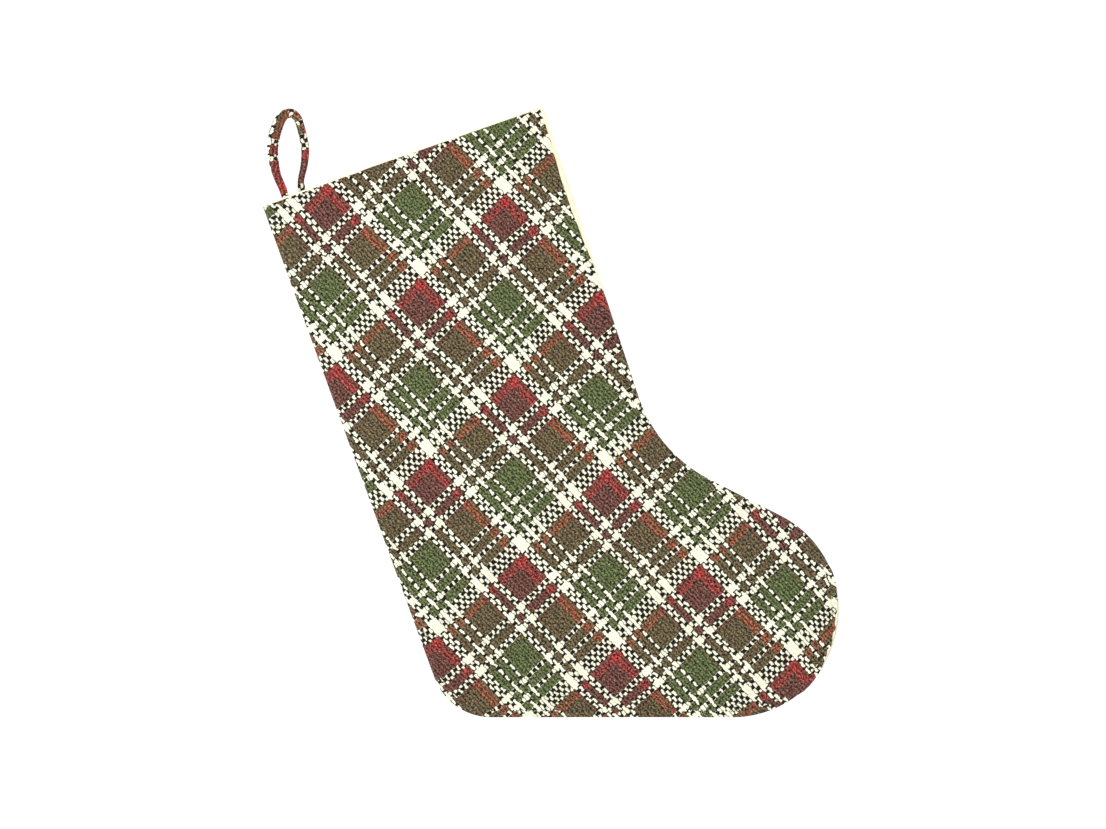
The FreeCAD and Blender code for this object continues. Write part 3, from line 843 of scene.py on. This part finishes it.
def tail_stations(along, heights, fold_pick):
    """Stations of one tail inside the mouth: flat against the back hem, then thickening above the mouth."""
    rows = []
    for height in heights:
        at = CUFF_LEFT + along * ALONG_CUFF + height * UP_FROM_CUFF
        free = float(smooth(height, 0, 6 * MM))
        far, _ = to_seam(at[None])
        thick = TAIL_THICK + (LOOP_FOOT_THICK - TAIL_THICK) * free
        in_mouth = SEAM_Y + float(depth(far)[0]) - HEM_DROP - TAIL_THICK / 2
        in_mouth += float(shift(at[None], BACK)[0, 1])
        width = TAIL_WIDTH - LOOP_FOOT_NARROWING * free
        rows.append((at[0], at[1], width, thick, 0.0, fold_pick, in_mouth * (1 - free)))
    return rows


def spline(stations, step, measured=2):
    """Catmull-Rom points through stations, evenly spaced along the first columns; also their run lengths."""
    stations = np.array(stations, float)
    padded = np.vstack([2 * stations[0] - stations[1], stations, 2 * stations[-1] - stations[-2]])
    share = np.linspace(0, 1, SPLINE_SHARES, endpoint=False)[:, None]
    runs = []
    for a, b, c, d in zip(padded, padded[1:], padded[2:], padded[3:]):
        cubic = (-a + 3 * b - 3 * c + d) * share**3
        square = (2 * a - 5 * b + 4 * c - d) * share**2
        runs.append(0.5 * (2 * b + (c - a) * share + square + cubic))
    dense = np.vstack(runs + [stations[-1:]])
    lengths = np.linalg.norm(np.diff(dense[:, :measured], axis=0), axis=1)
    length = np.concatenate([[0], np.cumsum(lengths)])
    at = np.linspace(0, length[-1], round(length[-1] / step) + 1)
    return np.column_stack([np.interp(at, length, column) for column in dense.T]), at


def fold_section(width, thick):
    """The cloth's middle line in a section of the folded strip: a closed outer fold, raw edges turned inside.

    The first column runs outwards from the loop's inside, the second from front to back.
    """
    cloth = min(STRIP_CLOTH, thick / 4.2)
    ply = thick / 2 - cloth / 2
    flap_ply = thick / 2 - 1.5 * cloth - 0.04 * MM
    inner = -width / 2 + cloth
    turn = np.radians(np.linspace(-90, -270, 7))
    small_y = -(ply + flap_ply) / 2 - (ply - flap_ply) / 2 * np.sin(turn)
    small = np.column_stack([inner + cloth / 2 * np.cos(turn), small_y])
    flap_end = inner + min(STRIP_FLAP, width - 3 * cloth)
    flap = np.column_stack([np.linspace(flap_end, inner, 4)[:-1], np.full(3, -flap_ply)])
    reach = min(thick / 2, width / 2) * 0.9
    face = np.column_stack([np.linspace(inner, width / 2 - reach, 6)[1:], np.full(5, -ply)])
    bend = np.radians(np.linspace(-90, 90, 11))
    big = np.column_stack([width / 2 - reach + (reach - cloth / 2) * np.cos(bend), ply * np.sin(bend)])
    front = np.vstack([flap, small, face])
    mirror = front[::-1] * [1, -1]
    return np.vstack([front, big[1:-1], mirror]), cloth


def loop_strip():
    """The folded plaid strip, from one tail up round the loop to the other tail."""
    left = tail_stations(TAILS_AT[0], [-TAIL_DEPTH, -7 * MM, -1 * MM, 5 * MM], LEFT_FOLD_PICK)
    right = tail_stations(TAILS_AT[1], [4 * MM, -1 * MM, -7 * MM, -TAIL_DEPTH], RIGHT_FOLD_PICK)
    middle = [(x * MM, z * MM, w * MM, t * MM, turn, pick, 0.0) for x, z, w, t, turn, pick in LOOP_STATIONS]
    path, run = spline(left + middle + right, STRIP_STEP)
    ways = np.gradient(path[:, :2], axis=0)
    ways /= np.linalg.norm(ways, axis=1, keepdims=True)
    outer_rows, inner_rows, cloth_rows, marks, cut_widths = [], [], [], [], []
    for (x, z, width, thick, turn, fold_pick, y), way, at in zip(path, ways, run):
        middle_line, cloth = fold_section(width, thick)
        steps = np.gradient(middle_line, axis=0)
        normal = np.column_stack([steps[:, 1], -steps[:, 0]])
        normal /= np.linalg.norm(normal, axis=1, keepdims=True)
        lengths = np.concatenate([[0], np.cumsum(np.linalg.norm(np.diff(middle_line, axis=0), axis=1))])
        cut_widths.append(lengths[-1])
        picks = fold_pick + (lengths[-1] / 2 - lengths) / PICK_PITCH
        ends = np.full(len(picks), FIRST_LOOP_END + (at - TAIL_DEPTH) / END_PITCH)
        yarns = np.column_stack([ends, picks])
        turned = math.radians(turn)
        out = np.array([-way[1] * math.cos(turned), -math.sin(turned), way[0] * math.cos(turned)])
        back = np.array([-way[1] * math.sin(turned), math.cos(turned), way[0] * math.sin(turned)])
        centre = np.array([x, y, z])
        relief = yarn_relief(yarns)[:, None] * (cloth / STRIP_CLOTH)
        outside = middle_line + normal * (cloth / 2 - 0.12 * MM + relief)
        within = middle_line - normal * cloth / 2
        outer_rows.append(centre + outside[:, :1] * out + outside[:, 1:] * back)
        inner_rows.append(centre + within[:, :1] * out + within[:, 1:] * back)
        cloth_rows.append(yarns)
        marks.append((centre, out, back, np.array([way[0], 0, way[1]]), width, thick))
    patches = Patches()
    outer, inner, cloth = (np.array(rows).swapaxes(0, 1) for rows in (outer_rows, inner_rows, cloth_rows))
    add_ribbon(patches, outer, inner, cloth)
    patches.add_grid(np.stack([inner[0], outer[0]]), np.stack([cloth[0], cloth[0]]))
    cut = float(np.mean(cut_widths)), float(run[-1])
    return patches.object("folded_plaid_loop", weld=0.005 * MM), marks, cut


# ------------ hand stitches

STITCH_RADIUS = 0.22 * MM
STITCH_SIDES = 8
STITCH_EVERY = 5
STITCH_LEAN = 0.9 * MM
STITCH_FROM = 9.0 * MM
TACK_HEIGHTS = (-6.0 * MM, -8.4 * MM, -10.8 * MM)
TACK_HALF_WIDTH = 2.2 * MM
TACK_TURNS = 9


def add_tube(patches, path, radius):
    """A round tube along a path of points."""
    ways = np.gradient(path, axis=0)
    ways /= np.linalg.norm(ways, axis=1, keepdims=True)
    side = np.cross(ways, [0.3, 0.8, 0.52])
    side /= np.linalg.norm(side, axis=1, keepdims=True)
    other = np.cross(ways, side)
    turns = np.linspace(0, 2 * math.pi, STITCH_SIDES + 1)
    ring = np.cos(turns)[None, :, None] * side[:, None] + np.sin(turns)[None, :, None] * other[:, None]
    places = path[:, None] + radius * ring
    patches.add_grid(places, np.zeros((*places.shape[:2], 2)))


def slip_stitches(marks):
    """Stitches that close the strip's open edge, on the loop's inside."""
    patches = Patches()
    for centre, out, back, way, width, thick in marks[::STITCH_EVERY]:
        if float(above_cuff(centre[[0, 2]])) < STITCH_FROM:
            continue
        ply = thick / 2 - STRIP_CLOTH
        edge = -width / 2
        across = (
            (edge + 0.7 * MM, -ply - 0.2 * MM),
            (edge - 0.1 * MM, -ply),
            (edge - 0.2 * MM, 0.0),
            (edge - 0.1 * MM, ply),
            (edge + 0.7 * MM, ply + 0.2 * MM),
        )
        lean = np.linspace(-STITCH_LEAN, STITCH_LEAN, len(across))
        stations = [centre + x * out + y * back + along * way for (x, y), along in zip(across, lean)]
        path, _ = spline(stations, 0.3 * MM, measured=3)
        add_tube(patches, path, STITCH_RADIUS)
    return patches.object("loop_slip_stitches", weld=0.001 * MM)


def bar_tacks():
    """Zigzag tacks across each tail, on the side towards the lining."""
    patches = Patches()
    for along in TAILS_AT:
        for height in TACK_HEIGHTS:
            spread = np.linspace(-TACK_HALF_WIDTH, TACK_HALF_WIDTH, TACK_TURNS)
            rise = np.where(np.arange(TACK_TURNS) % 2, 0.45, -0.45) * MM
            at = CUFF_LEFT + (along + spread)[:, None] * ALONG_CUFF + (height + rise)[:, None] * UP_FROM_CUFF
            far, _ = to_seam(at)
            y = SEAM_Y + depth(far) - HEM_DROP - TAIL_THICK - STITCH_RADIUS + shift(at, BACK)[:, 1]
            path, _ = spline(np.column_stack([at[:, 0], y, at[:, 1]]), 0.25 * MM, measured=3)
            add_tube(patches, path, STITCH_RADIUS)
    return patches.object("loop_bar_tacks", weld=0.001 * MM)


# ------------ materials

YARN_COLOURS = {
    "cream": (0.87, 0.855, 0.66),
    "maroon": (0.118, 0.048, 0.037),
    "red": (0.330, 0.036, 0.032),
    "dark": (0.190, 0.040, 0.032),
    "green": (0.085, 0.106, 0.040),
    "olive": (0.090, 0.070, 0.034),
}
FLECK = (0.55, 0.42, 0.33)
CREAM_END_SPREAD = 0.26
CREAM_PICK_SPREAD = 0.50
DARK_GRAIN = 1.9
# strength of the painted shade across each pick: strong on dark yarns, faint on cream
RIB_SHADE_ON_DARK, RIB_SHADE_ON_CREAM = 0.85, 0.05
# painted shade: how far a dark yarn is darkened where it lies among cream yarns
PAINTED_SHADE_BESIDE_CREAM = 0.93
# painted shade: dark lines in the grooves at the pick boundaries, where pale and dark yarns cross
PAINTED_SHADE_BETWEEN_PICKS = 0.93
YARN_BUMP = 0.5 * MM
PLAIN_BUMP = 0.12 * MM
SPECK = (0.45, 0.36, 0.22)
THREAD_COLOUR = (0.80, 0.75, 0.60)
THREAD_RELIEF = 0.05 * MM


class Graph:
    """Short calls that add nodes to one material."""

    def __init__(self, name):
        self.material = bpy.data.materials.new(name)
        self.material.use_nodes = True
        self.tree = self.material.node_tree
        self.shader = self.tree.nodes["Principled BSDF"]

    def put(self, value, socket):
        if isinstance(value, bpy.types.NodeSocket):
            self.tree.links.new(value, socket)
        else:
            socket.default_value = value

    def math(self, operation, *values):
        node = self.tree.nodes.new("ShaderNodeMath")
        node.operation = operation
        for value, socket in zip(values, node.inputs):
            self.put(value, socket)
        return node.outputs[0]

    def times(self, value, factor):
        return self.math("MULTIPLY", value, factor)

    def plus(self, value, other):
        return self.math("ADD", value, other)

    def minus(self, value, other):
        return self.math("SUBTRACT", value, other)

    def ramp(self, value, gain, base):
        """A value times a gain, plus a base."""
        return self.math("MULTIPLY_ADD", value, gain, base)

    def vector(self, x, y, z=0.0):
        node = self.tree.nodes.new("ShaderNodeCombineXYZ")
        for value, socket in zip((x, y, z), node.inputs):
            self.put(value, socket)
        return node.outputs[0]

    def split(self, name):
        """The columns of a vector attribute of the mesh."""
        attribute = self.tree.nodes.new("ShaderNodeAttribute")
        attribute.attribute_name = name
        node = self.tree.nodes.new("ShaderNodeSeparateXYZ")
        self.put(attribute.outputs["Vector"], node.inputs[0])
        return node.outputs[0], node.outputs[1]

    def mix(self, factor, first, second):
        node = self.tree.nodes.new("ShaderNodeMix")
        node.data_type = "RGBA"
        self.put(factor, node.inputs["Factor"])
        for value, socket in ((first, node.inputs[6]), (second, node.inputs[7])):
            self.put((*value, 1) if isinstance(value, tuple) and len(value) == 3 else value, socket)
        return node.outputs[2]

    def noise(self, place, scale, detail=2.0):
        node = self.tree.nodes.new("ShaderNodeTexNoise")
        self.put(place, node.inputs["Vector"])
        node.inputs["Scale"].default_value = scale
        node.inputs["Detail"].default_value = detail
        return node.outputs["Fac"]

    def stretched(self, x, x_scale, y, y_scale):
        """A texture place stretched differently along its two axes."""
        return self.vector(self.times(x, x_scale), self.times(y, y_scale))

    def around_zero(self, value, size):
        """A value from 0 to 1 turned into one from -size/2 to size/2."""
        return self.ramp(value, size, -size / 2)

    def pick(self, second, value, other):
        """The first number, or the other one where second is 1."""
        node = self.tree.nodes.new("ShaderNodeMix")
        for number, to in enumerate((second, None, value, other)):
            if to is not None:
                self.put(to, node.inputs[number])
        return node.outputs[0]

    def chance(self, value):
        """A random number that is fixed for each whole number."""
        node = self.tree.nodes.new("ShaderNodeTexWhiteNoise")
        node.noise_dimensions = "1D"
        self.put(value, node.inputs["W"])
        return node.outputs["Value"]

    def stripes(self, position, sequence, total):
        """The colour of the stripe that a whole yarn number falls in."""
        node = self.tree.nodes.new("ShaderNodeValToRGB")
        node.color_ramp.interpolation = "CONSTANT"
        middle = self.plus(position, 0.5)
        self.put(self.math("FRACT", self.math("DIVIDE", middle, float(total))), node.inputs[0])
        stops = node.color_ramp.elements
        start = 0
        for number, (colour, count) in enumerate(sequence):
            stop = stops[number] if number < 2 else stops.new(start / total)
            stop.position = start / total
            stop.color = (*YARN_COLOURS[colour], 1)
            start += count
        return node.outputs[0]

    def channel(self, colour, number):
        node = self.tree.nodes.new("ShaderNodeSeparateColor")
        self.put(colour, node.inputs[0])
        return node.outputs[number]

    def step(self, value, low, high):
        node = self.tree.nodes.new("ShaderNodeMapRange")
        node.interpolation_type = "SMOOTHSTEP"
        for number, to in enumerate((value, low, high, 0.0, 1.0)):
            self.put(to, node.inputs[number])
        return node.outputs[0]

    def scale(self, colour, factor):
        """A colour times a number."""
        node = self.tree.nodes.new("ShaderNodeVectorMath")
        node.operation = "SCALE"
        self.put(colour, node.inputs[0])
        self.put(factor, node.inputs["Scale"])
        return node.outputs[0]

    def finish(self, colour, height, relief, roughness=0.92, sheen=0.25):
        bump = self.tree.nodes.new("ShaderNodeBump")
        bump.inputs["Strength"].default_value = 1.0
        bump.inputs["Distance"].default_value = relief
        self.put(height, bump.inputs["Height"])
        self.put(bump.outputs[0], self.shader.inputs["Normal"])
        self.put(colour, self.shader.inputs["Base Color"])
        self.put(roughness, self.shader.inputs["Roughness"])
        self.shader.inputs["Sheen Weight"].default_value = sheen
        self.shader.inputs["Sheen Roughness"].default_value = 0.5
        self.shader.inputs["Specular IOR Level"].default_value = 0.2
        return self.material


def yarn_arch(graph, value, power):
    """A yarn's rounded height from its edges to its middle."""
    wave = graph.math("ABSOLUTE", graph.math("SINE", graph.times(value, math.pi)))
    return graph.math("POWER", wave, power)


def plaid_material():
    """Half-basket plaid: pairs of ends and single picks, coloured yarn by yarn, with painted shade between
    and beside the yarns.
    """
    g = Graph("homespun_plaid")
    ends, picks = g.split("weave")
    place = g.vector(ends, picks)
    other_place = g.vector(picks, ends, 7.0)
    ends = g.plus(ends, g.around_zero(g.noise(place, 0.7, 1.0), 1.2))
    picks = g.plus(picks, g.around_zero(g.noise(other_place, 0.9, 1.0), 1.0))
    end = g.math("FLOOR", ends)
    pick = g.math("FLOOR", picks)

    # positive where the ends float, negative where a pick does
    pair_wave = g.math("SINE", g.times(ends, math.pi / 2))
    pick_wave = g.math("SINE", g.times(picks, math.pi))
    float_wave = g.times(pair_wave, g.math("SIGN", pick_wave))

    end_colour = g.stripes(end, END_STRIPES, ENDS)
    pick_colour = g.stripes(pick, PICK_STRIPES, PICKS)
    end_pale = g.step(g.channel(end_colour, 2), 0.3, 0.5)
    pick_pale = g.step(g.channel(pick_colour, 2), 0.3, 0.5)

    # cream yarns are thicker, so they spread over their darker neighbours
    end_spread = g.times(end_pale, CREAM_END_SPREAD)
    spread = g.minus(end_spread, g.times(pick_pale, CREAM_PICK_SPREAD))
    ragged = g.around_zero(g.noise(g.stretched(ends, 2.2, picks, 3.6), 1.0), 1.3)
    float_wave = g.plus(float_wave, g.plus(spread, ragged))
    pick_on_top = g.math("LESS_THAN", float_wave, 0.0)

    top = g.mix(pick_on_top, end_colour, pick_colour)
    under = g.mix(pick_on_top, pick_colour, end_colour)
    top_pale = g.pick(pick_on_top, end_pale, pick_pale)
    under_pale = g.pick(pick_on_top, pick_pale, end_pale)

    across_end = yarn_arch(g, ends, 0.6)
    across_pick = yarn_arch(g, picks, 0.6)
    across_pair = yarn_arch(g, g.math("DIVIDE", ends, 2.0), 0.5)
    end_float = g.times(across_end, g.ramp(across_pick, 0.65, 0.35))
    pick_float = g.times(across_pick, g.ramp(across_pair, 0.65, 0.35))
    height = g.pick(pick_on_top, end_float, pick_float)

    end_fibres = g.noise(g.stretched(ends, 7.0, picks, 2.2), 1.0)
    pick_fibres = g.noise(g.stretched(ends, 1.4, picks, 11.0), 1.0)
    fibres = g.pick(pick_on_top, end_fibres, pick_fibres)
    slub = g.pick(pick_on_top, g.chance(g.plus(end, 0.37)), g.chance(g.plus(pick, 91.13)))

    dark_top = g.minus(1.0, top_pale)
    # painted contact shade: a dark yarn on top of a cream one is darkened nearly to black
    contact_shade = g.times(under_pale, dark_top)
    mixed = g.math("ABSOLUTE", g.minus(end_pale, pick_pale))
    # painted shade in the grooves between picks, used only where a pale yarn crosses a dark one
    groove_shade = g.minus(1.0, g.step(g.math("ABSOLUTE", pick_wave), 0.32, 0.72))
    # painted shade across each pick: darker in the grooves between picks, lighter on their crowns
    rib_shade = g.ramp(yarn_arch(g, picks, 1.0), 1.0, -0.64)
    grain = g.step(g.noise(g.stretched(ends, 1.3, picks, 2.0), 1.0, 3.0), 0.34, 0.66)
    lively = g.times(g.around_zero(grain, 1.0), g.times(dark_top, DARK_GRAIN))
    # painted shade: each yarn darkens towards its edges, where it dips under its neighbours; the factors
    # below add more painted shade along with the yarns' random tone
    shade = g.ramp(g.step(height, 0.0, 0.55), 0.30, 0.72)
    for factor in (
        g.plus(1.0, g.times(rib_shade, g.ramp(dark_top, RIB_SHADE_ON_DARK, RIB_SHADE_ON_CREAM))),
        g.ramp(contact_shade, -PAINTED_SHADE_BESIDE_CREAM, 1.0),
        g.ramp(g.times(groove_shade, mixed), -PAINTED_SHADE_BETWEEN_PICKS, 1.0),
        g.plus(1.0, lively),
        g.ramp(fibres, 0.55, 0.72),
        g.ramp(slub, 0.14, 0.93),
    ):
        shade = g.times(shade, factor)

    heather = g.noise(g.stretched(ends, 3.1, picks, 4.3), 1.0, 3.0)
    both_dark = g.times(dark_top, g.minus(1.0, under_pale))
    blended = g.times(both_dark, g.ramp(g.step(heather, 0.35, 0.65), 0.34, 0.22))
    tint = g.mix(blended, top, under)
    fleck = g.times(g.step(g.noise(g.stretched(ends, 2.3, picks, 3.3), 1.0), 0.64, 0.72), 0.45)
    tint = g.mix(g.times(fleck, dark_top), tint, FLECK)
    bump = g.plus(height, g.times(fibres, 0.35))
    return g.finish(g.scale(tint, shade), bump, YARN_BUMP, sheen=0.04)


def plain_material(name, colour, pitch, shadow, mottled):
    """Plain-weave cotton: a fine over-and-under relief with uneven threads, and painted shade where the
    threads dip under each other.
    """
    g = Graph(name)
    x, z = g.split("weave")
    across = g.math("DIVIDE", x, pitch)
    along = g.math("DIVIDE", z, pitch)
    warp = g.noise(g.vector(x, z), 260.0, 2.0)
    across = g.plus(across, g.times(warp, 0.7))
    along = g.plus(along, g.times(warp, -0.7))
    column = g.math("FLOOR", across)
    row = g.math("FLOOR", along)
    parity = g.math("FLOORED_MODULO", g.plus(column, row), 2.0)
    over = g.math("GREATER_THAN", parity, 0.5)
    first = g.times(yarn_arch(g, across, 0.7), g.ramp(yarn_arch(g, along, 0.7), 0.5, 0.5))
    second = g.times(yarn_arch(g, along, 0.7), g.ramp(yarn_arch(g, across, 0.7), 0.5, 0.5))
    height = g.pick(over, first, second)
    place = g.vector(x, z)
    slub = g.noise(g.stretched(x, 40.0, z, 900.0), 1.0)
    slub_other = g.noise(g.stretched(x, 900.0, z, 40.0), 1.0)
    cloud = g.noise(place, 26.0, 3.0)
    speck = g.step(g.noise(place, 700.0, 2.0), 0.70, 0.76)
    # painted shade: threads darken where they dip under the crossing threads; the slub noise after it is
    # random tone
    tone = g.ramp(g.step(height, 0.0, 0.7), 0.22, 0.80)
    tone = g.times(tone, g.ramp(g.plus(slub, slub_other), 0.12, 0.88))
    stained = g.mix(g.times(g.step(cloud, 0.35, 0.75), mottled), colour, shadow)
    stained = g.mix(g.times(speck, 0.45), stained, SPECK)
    return g.finish(g.scale(stained, tone), height, PLAIN_BUMP, sheen=0.2)


def thread_material():
    """Spun sewing thread, with fine fibre noise in its tone and relief."""
    g = Graph("sewing_thread")
    place = g.tree.nodes.new("ShaderNodeTexCoord").outputs["Object"]
    fibres = g.noise(place, 4000.0, 3.0)
    tone = g.ramp(fibres, 0.3, 0.8)
    return g.finish(g.scale(THREAD_COLOUR, tone), fibres, THREAD_RELIEF, 0.6, 0.1)


plaid = plaid_material()
back_cotton = plain_material("cream_cotton", (0.88, 0.83, 0.62), 0.62 * MM, (0.80, 0.72, 0.50), 0.20)
lining_cotton = plain_material("lining_cotton", (0.90, 0.86, 0.70), 0.45 * MM, (0.82, 0.74, 0.54), 0.2)
thread = thread_material()


# ------------ the four panels


def dress(thing, material, body="stocking"):
    thing.data.materials.clear()
    thing.data.materials.append(material)
    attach(thing, body)
    return thing


def outer_panel(name, side, numbering, rise):
    drops = (0.0, PLAID_CLOTH)
    return build_panel(Panel(name, side, numbering, rise, outer_rim, outer_edge(side), fold_inwards(), drops))


def lining_panel(name, side, rise, room=None):
    drops = (LINING_DROP, LINING_DROP + LINING_CLOTH)
    panel = Panel(name, side, plain_cloth, rise, lining_rim, lining_edge, fold_outwards(), drops, room)
    return build_panel(panel)


front_panel = outer_panel("front_plaid_panel", FRONT, yarns_at, FRONT_RISE)
back_panel = outer_panel("back_cream_panel", BACK, plain_cloth, FRONT_RISE + BACK_PROUD)
front_lining = lining_panel("front_lining_panel", FRONT, LINING_RISE)
back_lining = lining_panel("back_lining_panel", BACK, BACK_PROUD + LINING_RISE, tail_room)
for thing, material, slot, node in (
    (front_panel, plaid, "plaid_cotton", "front_panel"),
    (back_panel, back_cotton, "cream_cotton", "back_panel"),
    (front_lining, lining_cotton, "lining_cotton", "front_lining"),
    (back_lining, lining_cotton, "lining_cotton", "back_lining"),
):
    dress(thing, material)
    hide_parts(node)

strip, strip_marks, strip_cut = loop_strip()
strip.data.materials.append(plaid)
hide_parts("hanging_loop", "loop_tails")


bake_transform(strip)
dress(slip_stitches(strip_marks), thread, "loop")
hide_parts("loop_seam_thread")
dress(bar_tacks(), thread)
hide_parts("loop_tack_thread")


def cut_piece(beyond_seam, above_mouth):
    """A panel's cut size and area: the outline moved out by its allowance and up by its hem."""
    outline, normals = stocking_outline(3 * MM)
    ring = ring_points(outline, normals, -beyond_seam, above_mouth)
    ahead = np.roll(ring, -1, axis=0)
    area = abs(float((ring[:, 0] * ahead[:, 1] - ahead[:, 0] * ring[:, 1]).sum())) / 2
    width, length = np.ptp(ring, axis=0)
    return (float(width), float(length)), area


for thing, beyond_seam, above_mouth, hung_from in (
    (back_panel, SEAM_ALLOWANCE, TURNED_HEM + BACK_PROUD, strip),
    (front_panel, SEAM_ALLOWANCE, TURNED_HEM, back_panel),
    (back_lining, -LINING_CUT_INSET, LINING_TURNED + BACK_PROUD, back_panel),
    (front_lining, -LINING_CUT_INSET, LINING_TURNED, front_panel),
):
    size, area = cut_piece(beyond_seam, above_mouth)

for name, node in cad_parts.items():
    if "thread" in name:
        node.data.materials.clear()
        node.data.materials.append(thread)

# ------------ floor, light and camera

VIEW_WIDTH = 868.0 * MM
FLOOR_SIZE = 12
FLOOR_CENTRE = (0.2, 0, -0.56)
LIGHTS_AIM = (0.2, 0, -0.23)
WORLD_STRENGTH = 1.12
VIEW_CENTRE = Vector((206.5 * MM, 0.0, -232.8 * MM))
VIEW_DISTANCE = 4.0
SENSOR = 36.0


def make_floor():
    bpy.ops.mesh.primitive_plane_add(size=FLOOR_SIZE, location=FLOOR_CENTRE)
    floor = bpy.context.object
    floor.name = "floor"
    g = Graph("pale_floor")
    place = g.tree.nodes.new("ShaderNodeTexCoord").outputs["Object"]
    tone = g.ramp(g.noise(place, 3.0), 0.02, 0.96)
    g.put(g.vector(tone, tone, tone), g.shader.inputs["Base Color"])
    g.shader.inputs["Roughness"].default_value = 0.9
    floor.data.materials.append(g.material)


def make_light(name, place, size, power, target):
    lamp = bpy.data.lights.new(name, "AREA")
    lamp.size = size
    lamp.energy = power
    thing = bpy.data.objects.new(name, lamp)
    thing.location = place
    thing.rotation_euler = (Vector(target) - Vector(place)).to_track_quat("-Z", "Y").to_euler()
    bpy.context.scene.collection.objects.link(thing)


def make_studio():
    world = bpy.data.worlds.new("studio")
    world.use_nodes = True
    background = world.node_tree.nodes["Background"]
    background.inputs[0].default_value = (1, 1, 1, 1)
    background.inputs[1].default_value = WORLD_STRENGTH
    bpy.context.scene.world = world
    make_light("key", (-1.2, -1.8, 1.5), 0.9, 30, LIGHTS_AIM)
    make_light("rim", (1.6, 1.6, 1.2), 1.2, 12, LIGHTS_AIM)
    make_floor()


def make_camera():
    data = bpy.data.cameras.new("camera")
    data.sensor_width = SENSOR
    data.lens = SENSOR * VIEW_DISTANCE / VIEW_WIDTH
    camera = bpy.data.objects.new("camera", data)
    camera.location = VIEW_CENTRE - Vector((0, VIEW_DISTANCE, 0))
    camera.rotation_euler = (math.pi / 2, 0, 0)
    bpy.context.scene.collection.objects.link(camera)
    bpy.context.scene.camera = camera


make_studio()
make_camera()
bpy.context.scene.view_settings.view_transform = "Standard"
